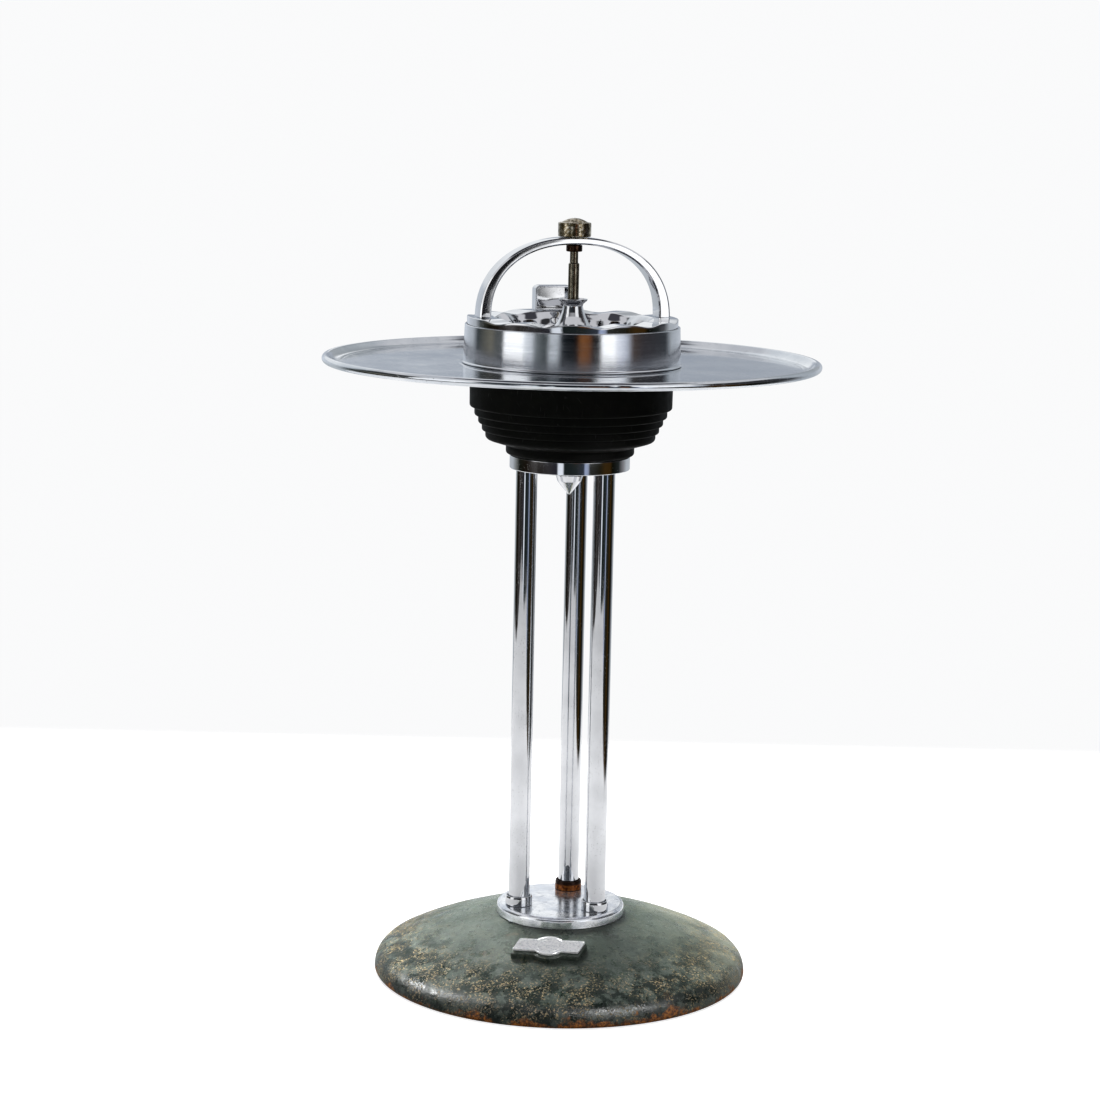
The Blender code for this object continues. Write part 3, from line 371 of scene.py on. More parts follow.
def satin_chrome():
    """Drum: plate with a fine turned grain round it, a few dents and dark specks."""
    look = Look("satin_chrome_look", "satin_chrome", (0.66, 0.68, 0.71), 1.0, 0.24)
    look.put("Anisotropic", 0.55)
    look.put("Anisotropic Rotation", 0.25)
    look.put("Tangent", look.add("ShaderNodeTangent", direction_type="RADIAL", axis="Z").outputs[0])
    grain = look.grain(14.0, 5200.0, 3.0, 0.7)
    clouds = look.noise(60.0, 4.0, 0.6)
    speck = look.specks(300.0, 0.13, 22.0, 0.63)
    look.colour = look.blend(look.ramp(grain, 0.3, 0.7), (0.62, 0.64, 0.67), (0.76, 0.78, 0.81))
    look.tint(look.ramp(clouds, 0.45, 0.75, 0.0, 0.4), (0.55, 0.56, 0.58))
    rough = look.ramp(look.grain(9.0, 420.0, 3.0), 0.3, 0.7, 0.1, 0.17)
    look.tint(speck, (0.05, 0.05, 0.06))
    return look.finished(
        look.plus(rough, look.ramp(clouds, 0.5, 0.8, 0.0, 0.06)), (grain, 0.000012),
        (look.noise(26.0, 1.0), 0.00003), look.pitted(speck, 0.00006),
    )


def tray_chrome():
    """Tray: plate dulled by use, with ring marks, crossing scratches and dull stains."""
    look = Look("tray_chrome_look", "tray_chrome", (0.66, 0.69, 0.72), 1.0, 0.16)
    clouds = look.noise(22.0, 6.0, 0.6)
    stain = look.ramp(look.noise(75.0, 5.0, 0.65), 0.56, 0.68)
    distance = look.fed("ShaderNodeCombineXYZ", look.times(look.radius(), 2600.0)).outputs[0]
    rings = look.noise(1.0, 3.0, 0.7, distance)
    marks = look.scratches(0.045, 0.0003, 0.75, (0.2, 0.9, 1.7, 2.6))
    pit = look.specks(420.0, 0.15, 26.0, 0.58)
    look.colour = look.blend(look.ramp(clouds, 0.35, 0.7), (0.62, 0.65, 0.69), (0.78, 0.8, 0.82))
    look.tint(stain, (0.48, 0.5, 0.52), 0.35)
    look.tint(marks, (0.9, 0.91, 0.93), 0.5)
    rough = look.plus(look.times(stain, 0.08), look.times(rings, 0.03), look.times(marks, 0.12))
    look.tint(pit, (0.08, 0.08, 0.08))
    return look.finished(
        look.plus(look.ramp(clouds, 0.3, 0.75, 0.04, 0.08), rough), (rings, 0.000003), (marks, 0.000015),
        (look.noise(9.0, 1.0), 0.00015), look.pitted(pit, 0.00005),
    )


def black_enamel():
    """Bowl: dull black baked enamel with dust and small scuffs."""
    look = Look("black_enamel_look", "black_enamel", (0.0035, 0.004, 0.003), 0.0, 0.55)
    look.put("Specular IOR Level", 0.1)
    clouds = look.noise(90.0, 5.0, 0.6)
    dust = look.specks(900.0, 0.17, 60.0, 0.56)
    marks = look.scratches(0.012, 0.0003, 0.45)
    look.colour = look.blend(look.ramp(clouds, 0.35, 0.7), (0.0016, 0.002, 0.0013), (0.005, 0.0056, 0.004))
    look.tint(dust, (0.06, 0.06, 0.055), 0.5)
    look.tint(marks, (0.07, 0.07, 0.065), 0.5)
    return look.finished(
        look.ramp(clouds, 0.3, 0.75, 0.5, 0.7), (look.noise(1500.0, 3.0), 0.00002),
        (look.noise(300.0, 2.0), 0.00003),
    )


def painted_iron():
    """Base: worn green-black paint, blackened and speckled on the shoulder, rusting at the foot."""
    look = Look("painted_iron_look", "painted_iron", (0.06, 0.07, 0.065), 0.0, 0.4)
    look.put("Specular IOR Level", 0.3)
    height = look.axis("z")
    broad = look.noise(24.0, 6.0, 0.66)
    mottle = look.noise(120.0, 6.0, 0.72)
    fine = look.noise(430.0, 5.0, 0.75)
    look.colour = look.blend(look.ramp(broad, 0.4, 0.6), (0.038, 0.052, 0.041), (0.066, 0.083, 0.069))
    look.tint(look.ramp(mottle, 0.45, 0.62, 0.0, 0.65), (0.028, 0.038, 0.03))
    look.tint(look.ramp(fine, 0.53, 0.63, 0.0, 0.32), (0.17, 0.19, 0.155))
    worn = look.ramp(look.noise(60.0, 6.0, 0.75), 0.44, 0.52, 0.0, 0.95)
    look.tint(look.times(look.ramp(height, 0.038, 0.024), worn), (0.005, 0.012, 0.008))
    # Painted light: a pale grey-green laid in broad patches over the base's right side stands in for the
    # light that falls on that side
    side = look.plus(look.times(look.axis("x"), 0.96), look.times(look.axis("y"), 0.27))
    painted_light_right_side = look.times(look.ramp(side, 0.035, 0.12), look.ramp(broad, 0.4, 0.6, 0.15, 0.7))
    look.tint(painted_light_right_side, (0.16, 0.168, 0.128))
    grains = look.ramp(look.noise(620.0, 4.0, 0.75), 0.54, 0.6)
    grains = look.times(grains, look.ramp(look.noise(65.0, 5.0, 0.7), 0.43, 0.55))
    speckle = look.times(grains, look.ramp(height, 0.038, 0.022, 0.12, 0.95))
    look.tint(speckle, (0.38, 0.29, 0.15))
    foot = look.ramp(look.noise(40.0, 5.0, 0.65), 0.35, 0.7, -0.75, 0.25)
    foot = look.plus(look.ramp(height, 0.014, 0.0), foot)
    rust = look.times(look.ramp(foot, 0.15, 0.5), look.ramp(mottle, 0.34, 0.5))
    rusty = look.blend(look.ramp(fine, 0.42, 0.62), (0.08, 0.03, 0.01), (0.46, 0.175, 0.03))
    gloss = look.ramp(look.noise(95.0, 6.0, 0.7), 0.36, 0.64, 0.22, 0.5)
    look.tint(rust, rusty)
    return look.finished(
        look.plus(gloss, look.times(look.maths("MAXIMUM", rust, speckle), 0.35)),
        (look.noise(40.0, 3.0), 0.00045), (mottle, 0.00055), (fine, 0.00022), (speckle, 0.00012),
    )


def rusted_plate():
    """Ferrule whose plate has gone: orange-brown tarnish over brass, darker at its mouth."""
    look = Look("rusted_plate_look", "rusted_plate", (0.33, 0.13, 0.05), 0.6, 0.4)
    mottle = look.noise(420.0, 5.0, 0.65)
    look.colour = look.blend(look.ramp(mottle, 0.35, 0.65), (0.12, 0.03, 0.006), (0.46, 0.17, 0.035))
    mouth = look.ramp(look.plus(look.axis("z"), look.times(mottle, 0.002)), 0.0588, 0.0602)
    look.tint(mouth, (0.035, 0.014, 0.007))
    look.tint(look.specks(1400.0, 0.2, 300.0, 0.5), (0.03, 0.015, 0.008))
    return look.finished(look.ramp(mottle, 0.3, 0.7, 0.25, 0.5), (mottle, 0.00008))


def badge_alloy():
    """Blank badge: dull silver with specks of dark dirt."""
    look = Look("badge_alloy_look", "badge_alloy", (0.9, 0.9, 0.89), 0.45, 0.34)
    clouds = look.noise(500.0, 5.0, 0.65)
    dirt = look.specks(1500.0, 0.3, 500.0, 0.5)
    look.colour = look.blend(look.ramp(clouds, 0.4, 0.7), (0.95, 0.95, 0.94), (0.66, 0.67, 0.69))
    look.tint(dirt, (0.14, 0.14, 0.15), 0.6)
    return look.finished(look.ramp(clouds, 0.3, 0.7, 0.28, 0.48), (clouds, 0.0001))


def worn_nickel(name, light, dark, gold, gold_share, roughness):
    """Nickel plate worn in patches to darker tarnish and brass."""
    look = Look(name, "worn_nickel", light, 1.0, roughness)
    mottle = look.noise(330.0, 6.0, 0.68)
    brass = look.ramp(look.noise(520.0, 5.0, 0.7), 0.62 - 0.2 * gold_share, 0.7, 0.0, 0.8)
    look.colour = look.blend(look.ramp(mottle, 0.42, 0.6), dark, light)
    look.tint(brass, gold)
    return look.finished(
        look.ramp(mottle, 0.3, 0.7, roughness * 1.3, roughness * 0.7), (mottle, 0.00005),
        (look.grain(60.0, 3800.0), 0.000008),
    )


def plain_steel():
    """Hidden fasteners: dull steel with a turned grain and a little tarnish."""
    look = Look("steel_look", "steel", (0.42, 0.42, 0.43), 1.0, 0.38)
    mottle = look.noise(260.0, 5.0, 0.65)
    look.colour = look.blend(look.ramp(mottle, 0.4, 0.66), (0.46, 0.46, 0.47), (0.24, 0.2, 0.16))
    return look.finished(look.ramp(mottle, 0.3, 0.7, 0.3, 0.52), (look.grain(90.0, 2600.0), 0.00002))


def tinplate():
    """Ash can: dull tinplate with ash-grey clouding and scratches."""
    look = Look("tinplate_look", "tinplate", (0.52, 0.52, 0.51), 1.0, 0.34)
    clouds = look.noise(55.0, 6.0, 0.65)
    marks = look.scratches(0.03, 0.0004, 0.8)
    look.colour = look.blend(look.ramp(clouds, 0.36, 0.68), (0.56, 0.56, 0.55), (0.3, 0.285, 0.26))
    look.tint(marks, (0.72, 0.72, 0.7), 0.5)
    return look.finished(look.ramp(clouds, 0.3, 0.7, 0.26, 0.48), (clouds, 0.00005), (marks, 0.00003))


# ---- shapes


def piece(name, vertices, faces, look, body, *replaced):
    """A smooth-shaded closed mesh that rides on a body and may stand for CAD nodes."""
    mesh = bpy.data.meshes.new(name)
    mesh.from_pydata(vertices, [], faces)
    return dressed(name, mesh, look, body, *replaced)


def outward(mesh):
    """Turn the faces of a closed mesh outwards."""
    bm = bmesh.new()
    bm.from_mesh(mesh)
    bmesh.ops.recalc_face_normals(bm, faces=bm.faces)
    bm.to_mesh(mesh)
    bm.free()
    return mesh


def dressed(name, mesh, look, body, *replaced):
    """Finish a mesh as a piece: outward faces, smooth shading, material, body and slot."""
    outward(mesh).shade_smooth()
    mesh.set_sharp_from_angle(angle=SMOOTH_ANGLE)
    mesh.materials.clear()
    mesh.materials.append(look)
    made = bpy.data.objects.new(name, mesh)
    bpy.context.scene.collection.objects.link(made)
    flattened = made.modifiers.new("flat faces", "WEIGHTED_NORMAL")
    flattened.keep_sharp = True
    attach(made, body)
    if replaced:
        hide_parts(*replaced)
    return made


def ramp(value, low, high):
    """0 below low, 1 above high, straight between."""
    return min(1.0, max(0.0, (value - low) / (high - low)))


def rounded(points, steps):
    """Outline through points: (radius, height) stays sharp, (radius, height, round) is eased by an arc."""
    outline = []
    for index, (radius, height, *ease) in enumerate(points):
        if not ease:
            outline.append((radius, height))
            continue
        here = Vector((radius, height))
        back = Vector(points[index - 1][:2]) - here
        onward = Vector(points[(index + 1) % len(points)][:2]) - here
        half = back.angle(onward) / 2.0
        reach = min(ease[0] / math.tan(half), 0.48 * back.length, 0.48 * onward.length)
        back.normalize()
        onward.normalize()
        centre = here + (back + onward).normalized() * reach / math.cos(half)
        start = here + back * reach - centre
        end = here + onward * reach - centre
        first = math.atan2(start.y, start.x)
        sweep = math.remainder(math.atan2(end.y, end.x) - first, 2.0 * math.pi)
        last = math.degrees(first + sweep)
        outline += arc(centre, start.length, math.degrees(first), last, steps)
    return outline


def arc(centre, radius, start, end, steps):
    """Points (radius, height) along an arc; angles in degrees from +R towards +Z."""
    points = []
    for index in range(steps + 1):
        angle = math.radians(start + (end - start) * index / steps)
        points.append((centre[0] + radius * math.cos(angle), centre[1] + radius * math.sin(angle)))
    return points


def spun(outline, steps):
    """Vertices and faces of an outline spun about the Z axis; it closes on itself or on the axis."""
    vertices = []
    rings = []
    for radius, height in outline:
        first = len(vertices)
        if radius == 0.0:
            rings.append([first] * steps)
            vertices.append(Vector((0.0, 0.0, height)))
            continue
        rings.append(list(range(first, first + steps)))
        for index in range(steps):
            angle = 2.0 * math.pi * index / steps
            vertices.append(Vector((radius * math.cos(angle), radius * math.sin(angle), height)))
    pairs = list(zip(rings, rings[1:]))
    if outline[0][0] > 0.0:
        pairs.append((rings[-1], rings[0]))
    return vertices, quads(pairs)


def quads(pairs):
    """Faces between pairs of rings of vertex numbers."""
    faces = []
    for upper, lower in pairs:
        for index in range(len(upper)):
            onward = (index + 1) % len(upper)
            corners = dict.fromkeys((upper[index], upper[onward], lower[onward], lower[index]))
            if len(corners) > 2:
                faces.append(tuple(corners))
    return faces


def turned(name, points, ease_steps, steps, look, body, *replaced, place=Matrix()):
    """A solid of revolution about the Z axis of a frame, from an outline's points."""
    vertices, faces = spun(rounded(points, ease_steps), steps)
    return piece(name, [place @ vertex for vertex in vertices], faces, look, body, *replaced)


def carved(made, cutter_mesh):
    """Cut a closed mesh out of a piece for good."""
    cutter = bpy.data.objects.new("cutter", cutter_mesh)
    bpy.context.scene.collection.objects.link(cutter)
    modifier = made.modifiers.new("cut", "BOOLEAN")
    modifier.operation = "DIFFERENCE"
    modifier.solver = "EXACT"
    modifier.object = cutter
    graph = bpy.context.evaluated_depsgraph_get()
    result = bpy.data.meshes.new_from_object(made.evaluated_get(graph))
    made.modifiers.remove(modifier)
    made.data = result
    bpy.data.objects.remove(cutter)


def softened(made, width, segments=2):
    """Ease the sharp edges of a piece with a narrow bevel."""
    modifier = made.modifiers.new("eased", "BEVEL")
    modifier.width = width
    modifier.segments = segments
    modifier.limit_method = "ANGLE"
    modifier.angle_limit = math.radians(30.0)
    modifier.use_clamp_overlap = True
    made.modifiers.move(len(made.modifiers) - 1, 0)


# ---- base


def crown_centre_z():
    """Height of the centre of the base's crown sphere."""
    return SEAT_Z + 0.0005 - math.sqrt(CROWN_RADIUS**2 - SEAT_RADIUS**2)


def shoulder_centre():
    """Centre (radius, height) of the base's shoulder arc, tangent to its crown arc."""
    radius = BASE_RADIUS - SHOULDER_RADIUS
    return (radius, crown_centre_z() + math.sqrt((CROWN_RADIUS - SHOULDER_RADIUS) ** 2 - radius**2))


def dome_arcs(inset, start_radius, end_radius, steps):
    """Crown and shoulder of the base, inset from its outer face, between two radii."""
    crown = CROWN_RADIUS - inset
    shoulder = SHOULDER_RADIUS - inset
    centre = shoulder_centre()
    tangent = math.degrees(math.atan2(centre[1] - crown_centre_z(), centre[0]))
    start = math.degrees(math.acos(start_radius / crown))
    end = math.degrees(math.acos(max(-1.0, min(1.0, (end_radius - centre[0]) / shoulder))))
    points = arc((0.0, crown_centre_z()), crown, start, tangent, steps)
    return points + arc(centre, shoulder, tangent, end, steps // 2)[1:]


def make_base(look):
    """Hollow casting: domed top with a slightly uneven skin, foot ring, hollow underside and hub."""
    foot_round = shoulder_centre()[1]
    outline = [(0.0, SEAT_Z), (SEAT_RADIUS - 0.004, SEAT_Z), (SEAT_RADIUS + GAP, SEAT_Z)]
    outline += dome_arcs(0.0, SEAT_RADIUS + GAP, BASE_RADIUS, 40)
    outline += arc((BASE_RADIUS - foot_round, foot_round), foot_round, 0.0, -90.0, 8)[1:]
    outline += [(FOOT_INNER + 0.0006, 0.0), (FOOT_INNER, 0.0006)]
    outline += reversed(dome_arcs(WALL, HUB_RADIUS + 0.002, FOOT_INNER, 14))
    outline += rounded([(HUB_RADIUS + 0.001, HUB_Z + 0.006), (HUB_RADIUS, HUB_Z, 0.002), (0.0, HUB_Z)], 5)
    vertices, faces = spun(outline, 288)
    for vertex in vertices:
        radius = math.hypot(vertex.x, vertex.y)
        fade = ramp(radius, SEAT_RADIUS + 0.002, SEAT_RADIUS + 0.008) * ramp(vertex.z, 0.0015, 0.0055)
        ripple = noise.noise(vertex * 42.0) + 0.5 * noise.noise(vertex * 110.0)
        if radius > SEAT_RADIUS:
            vertex *= 1.0 + CASTING_RIPPLE * fade * (ripple - 1.0) / vertex.length
    piece("base_shell", vertices, faces, look, "stand", "base_casting")


def badge_frame():
    """Frame on the base at the badge: local X along its length, local Z out of the dome."""
    slope = math.asin(BADGE_DISTANCE / CROWN_RADIUS)
    around = Matrix.Rotation(BADGE_ANGLE + math.radians(90.0), 4, "Z")
    tilt = Matrix.Rotation(slope, 4, "X")
    lift = Matrix.Translation((0.0, 0.0, CROWN_RADIUS))
    return Matrix.Translation((0.0, 0.0, crown_centre_z())) @ around @ tilt @ lift


def badge_outline(grow, steps=26):
    """Plan of the blank badge: a bar with a round disc across its middle, grown outwards."""
    length = BADGE_HALF_LENGTH + grow
    bar = BADGE_BAR_HALF + grow
    disc = BADGE_DISC + grow
    lean = BADGE_SLANT * bar
    upper = [(length, bar - 0.001), (length - 0.0008, bar)]
    edge = math.sqrt(disc**2 - bar**2)
    sweep = math.asin(edge / disc)
    for index in range(steps + 1):
        angle = sweep * (1.0 - 2.0 * index / steps)
        upper.append((disc * math.sin(angle), disc * math.cos(angle)))
    upper += [(lean * 2.0 - length, bar), (lean * 2.0 - length - 0.001, bar - 0.001)]
    return upper + [(-x, -y) for x, y in upper]


def slab(outline, low, high):
    """Bmesh of an upright slab over a plan outline."""
    bm = bmesh.new()
    face = bm.faces.new([bm.verts.new((x, y, low)) for x, y in outline])
    sweep = bmesh.ops.extrude_face_region(bm, geom=[face])
    lifted = [item for item in sweep["geom"] if isinstance(item, bmesh.types.BMVert)]
    bmesh.ops.translate(bm, verts=lifted, vec=(0.0, 0.0, high - low))
    bmesh.ops.recalc_face_normals(bm, faces=bm.faces)
    return bm


def top_face(bm):
    """The largest of the highest faces of a bmesh."""
    highest = max(face.calc_center_median().z for face in bm.faces) - 1e-6
    level = [face for face in bm.faces if face.calc_center_median().z > highest]
    return max(level, key=lambda face: face.calc_area())


def put_on_base(bm, name, look, *replaced):
    """Make a piece on the stand of a slab drawn in the badge's frame."""
    bmesh.ops.transform(bm, matrix=badge_frame(), verts=bm.verts)
    mesh = bpy.data.meshes.new(name)
    bm.to_mesh(mesh)
    bm.free()
    return dressed(name, mesh, look, "stand", *replaced)


def make_badge(look, seat_look):
    """Blank badge: a raised border and a ring on its disc, two domed rivets, all on a raised seat."""
    seat = slab(badge_outline(BADGE_SEAT_GROWTH), -BADGE_SEAT_HEIGHT, BADGE_SEAT_HEIGHT)
    bmesh.ops.translate(seat, verts=seat.verts, vec=(0.0, -BADGE_SEAT_SAG, 0.0))
    softened(put_on_base(seat, "badge_seat", seat_look, "base_casting"), 0.0012, 4)
    low = BADGE_SEAT_HEIGHT + GAP
    bar = slab(badge_outline(0.0), low, low + BADGE_THICKNESS)
    bmesh.ops.inset_region(bar, faces=[top_face(bar)], thickness=0.0009, depth=0.0)
    bmesh.ops.inset_region(bar, faces=[top_face(bar)], thickness=0.0002, depth=-0.0004)
    softened(put_on_base(bar, "badge_face", look, "badge_plate"), 0.00015)
    level = low + BADGE_THICKNESS - 0.0005
    inner, outer, top = 0.0074, 0.0082, level + 0.0005
    ring = [(outer, level), (outer, top, 0.0002), (inner, top, 0.0002), (inner, level)]
    turned("badge_ring", ring, 3, 64, look, "stand", place=badge_frame())
    level += 0.0001
    head = [(0.0, level + 0.0009)] + arc((0.0, level - 0.0014), 0.0023, 78.0, 38.0, 6)
    head += [(0.0019, level), (0.0, level)]
    for side, word in ((-1, "left"), (1, "right")):
        spot = badge_frame() @ Matrix.Translation((side * BADGE_RIVET_OFFSET, 0.0, 0.0))
        turned("badge_rivet_head_" + word, head, 1, 24, look, "stand", "badge_rivet_" + word, place=spot)


# ---- columns


def make_base_plate(look):
    """Thick chromed disc with a full round on its upper edge."""
    low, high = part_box("base_plate")
    points = [(0.0, high.z), (high.x, high.z, 0.003), (high.x, low.z, 0.0006), (0.0, low.z)]
    turned("base_plate_disc", points, 10, 160, look, "stand", "base_plate")


def make_columns(tube_look, ferrule_looks):
    """Each column's tube and the ferrule round its foot, with a fine step at the ferrule's mouth."""
    for side in COLUMN_NAMES:
        node = "column_tube_" + side
        low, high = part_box(node)
        place = Matrix.Translation(((low.x + high.x) / 2.0, (low.y + high.y) / 2.0, 0.0))
        inner = TUBE_RADIUS - TUBE_WALL
        points = [
            (inner, high.z, 0.0002), (TUBE_RADIUS, high.z, 0.0004), (TUBE_RADIUS, low.z, 0.0002),
            (inner, low.z, 0.0002),
        ]
        turned("tube_" + side, points, 3, 72, tube_look, "stand", node, place=place)
        node = "column_ferrule_" + side
        low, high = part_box(node)
        points = [
            (FERRULE_INNER, high.z - 0.0009), (FERRULE_INNER + 0.0005, high.z - 0.0002, 0.0002),
            (FERRULE_OUTER - 0.0005, high.z, 0.0006), (FERRULE_OUTER, high.z - 0.0016, 0.001),
            (FERRULE_OUTER, low.z, 0.0003), (FERRULE_INNER, low.z),
        ]
        turned("ferrule_" + side, points, 4, 72, ferrule_looks[side], "stand", node, place=place)


def make_collar(look):
    """Chromed disc under the bowl, with eased edges and a hole for the centre bolt."""
    low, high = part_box("top_collar")
    points = [(ROD_HOLE, high.z), (high.x, high.z, 0.0005)]
    points += [(high.x, low.z, 0.0006), (ROD_HOLE, low.z, 0.0002)]
    turned("collar_disc", points, 5, 160, look, "stand", "top_collar")


def make_finial(look):
    """Acorn-shaped nut: a short drum, a quirk and a bulb drawn down to a point."""
    low, top = (corner.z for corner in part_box("finial_nut"))
    points = [
        (0.0, top), (0.0103, top, 0.0006), (0.0103, top - 0.005, 0.002), (0.0088, top - 0.0096, 0.004),
        (0.0054, top - 0.0139, 0.006), (0.0012, top - 0.019, 0.0012), (0.0, low),
    ]
    turned("finial", points, 8, 72, look, "stand", "finial_nut")


# ---- bowl, tray and drum


def make_bowl(look):
    """Stepped black bowl, each step with a rounded lower edge and an eased upper one."""
    bottom, top = (corner.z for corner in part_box("bowl"))
    points = [(BOWL_MOUTH, top, 0.0003), (BOWL_STEPS[0][0] + 0.0003, top, 0.0003)]
    for index, (radius, low) in enumerate(BOWL_STEPS):
        if index:
            points.append((radius, BOWL_STEPS[index - 1][1], 0.0005))
        points.append((radius, low, BOWL_ROUND))
    points += [
        (HIP_RADIUS, BOWL_STEPS[-1][1], 0.0005), (HIP_RADIUS, HIP_Z - 0.0022, 0.003),
        (RING_RADIUS, RING_TOP_Z, 0.0006), (RING_RADIUS, bottom + 0.0012, 0.0022),
        (RING_RADIUS - 0.0032, bottom, 0.0008), (ROD_HOLE, bottom),
        (ROD_HOLE, BOWL_FLOOR_Z), (0.0446, BOWL_FLOOR_Z, 0.001), (0.045, CAN_SHELF_Z, 0.0006),
        (0.0585, CAN_SHELF_Z, 0.0015), (0.0592, CAN_SHELF_Z + 0.003, 0.001), (BOWL_INNER, 0.441, 0.004),
        (BOWL_INNER, top - FLANGE_THICKNESS, 0.0006), (BOWL_MOUTH, top - FLANGE_THICKNESS, 0.0003),
    ]
    turned("bowl_shell", points, 5, 192, look, "stand", "bowl")


def make_tray(look):
    """Tray sheet with a fine rolled bead, slightly knocked in a few places."""
    floor = TRAY_FLOOR_Z
    under = TRAY_SEAT_Z - TRAY_SHEET
    inner_edge = BEAD_CENTRE - BEAD_RADIUS
    seat, flat = TRAY_SEAT, TRAY_FLAT_RADIUS
    outline = [(TRAY_HOLE, TRAY_SEAT_Z), (seat - 0.0004, TRAY_SEAT_Z), (seat, TRAY_SEAT_Z - 0.00005)]
    outline += [(seat + 0.0004, floor), (0.5 * (seat + flat), floor), (flat - 0.0012, floor)]
    outline += [(flat + aside, floor + up) for aside, up in TRAY_LINE]
    outline += arc((0.1712, floor + 0.0094), 0.0092, -84.0, -44.0, 10)
    outline += arc((BEAD_CENTRE, BEAD_Z), BEAD_RADIUS, 146.0, -165.0, 40)
    outline += [(0.1768, floor + 0.0009), (0.1741, floor - 0.0002), (0.17, under), (TRAY_HOLE, under)]
    vertices, faces = spun(outline, 300)
    for vertex in vertices:
        radius = math.hypot(vertex.x, vertex.y)
        if radius < inner_edge:
            continue
        angle = math.atan2(vertex.y, vertex.x) % (2.0 * math.pi)
        push = 0.0
        for place, width, depth in TRAY_KNOCKS:
            push += depth * math.exp(-(((angle - place) / width) ** 2))
        push *= (radius - inner_edge) / (2.0 * BEAD_RADIUS)
        vertex.xy *= 1.0 - push / radius
    piece("tray_sheet", vertices, faces, look, "stand", "tray")


def make_drum(look):
    """Satin drum: a small foot fillet, straight wall, eased lip and a rebate for the receiver."""
    low, high = (corner.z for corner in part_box("drum"))
    points = [
        (TRAY_HOLE, low, 0.0003), (DRUM_FOOT, low, 0.0003), (DRUM_FOOT, low + 0.0007, 0.0003),
        (DRUM_BOTTOM, low + 0.0016, 0.0008), (DRUM_BOTTOM - 0.00002, low + 0.003),
        (DRUM_TOP, high - 0.002), (DRUM_TOP, high, 0.0006), (DRUM_REBATE, high, 0.0002),
        (DRUM_REBATE, DRUM_LEDGE_Z, 0.0001), (DRUM_LIP, DRUM_LEDGE_Z, 0.0003),
        (DRUM_LIP, DRUM_LEDGE_Z - DRUM_SHEET, 0.0003),
        (DRUM_TOP - DRUM_SHEET - 0.0008, DRUM_LEDGE_Z - DRUM_SHEET, 0.0008),
        (DRUM_BOTTOM - DRUM_SHEET, low + DRUM_SHEET, 0.0008), (TRAY_HOLE, low + DRUM_SHEET, 0.0003),
    ]
    turned("drum_shell", points, 5, 256, look, "stand", "drum")


def make_can(look):
    """Ash can with a rolled rim and a soft bottom edge."""
    low, top = (corner.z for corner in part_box("ash_can"))
    top -= 2.0 * CAN_BEAD
    inner = CAN_SHEET * 1.05
    outline = rounded([(0.0, low), (CAN_BOTTOM - 0.0006, low, 0.0024), (CAN_TOP, top)], 8)
    outline += arc((CAN_TOP + CAN_BEAD, top + CAN_BEAD), CAN_BEAD, -90.0, 180.0, 14)
    outline += [(CAN_TOP - inner, top), (CAN_BOTTOM - inner - 0.0002, low + 0.0052)]
    outline += [(CAN_BOTTOM - inner - 0.002, low + 0.0022), (CAN_BOTTOM - 0.006, low + CAN_SHEET)]
    outline += [(0.0, low + CAN_SHEET)]
    turned("can_shell", outline, 1, 128, look, "ash_can", "ash_can")


# ---- receiver


def rest_fall(point):
    """Fall of the dish's sheet at a point: the troughs where cigarettes rest, open through the band."""
    radius = math.hypot(point.x, point.y)
    pitch = 2.0 * math.pi / FLUTE_COUNT
    around = math.atan2(point.y, point.x)
    index = round(around / pitch)
    if index % FLUTE_COUNT not in REST_INDEXES:
        return 0.0
    aside = radius * math.sin(abs(around - index * pitch))
    depth = REST_DEPTH * math.cos(min(1.0, aside / REST_HALF_WIDTH) * math.pi / 2.0) ** 2
    top = DISH_TOP
    if radius > LAND_INNER + DISH_SHEET:
        return depth * ramp(point.z, DISH_LOW_BAND, top - DISH_SHEET)
    return depth * ramp(point.z, (DISH_WALL_LOW_Z + top) / 2.0, top - DISH_SHEET)


def flute_swell(point):
    """Outward swell of the dish's wall: hollows in line with the rests, ridges between them."""
    if math.hypot(point.x, point.y) > LAND_INNER + DISH_SHEET:
        return 0.0
    level = ramp(point.z, DISH_WALL_LOW_Z, DISH_TOP)
    return FLUTE_SPREAD * 4.0 * level * (1.0 - level) * math.cos(FLUTE_COUNT * math.atan2(point.y, point.x))


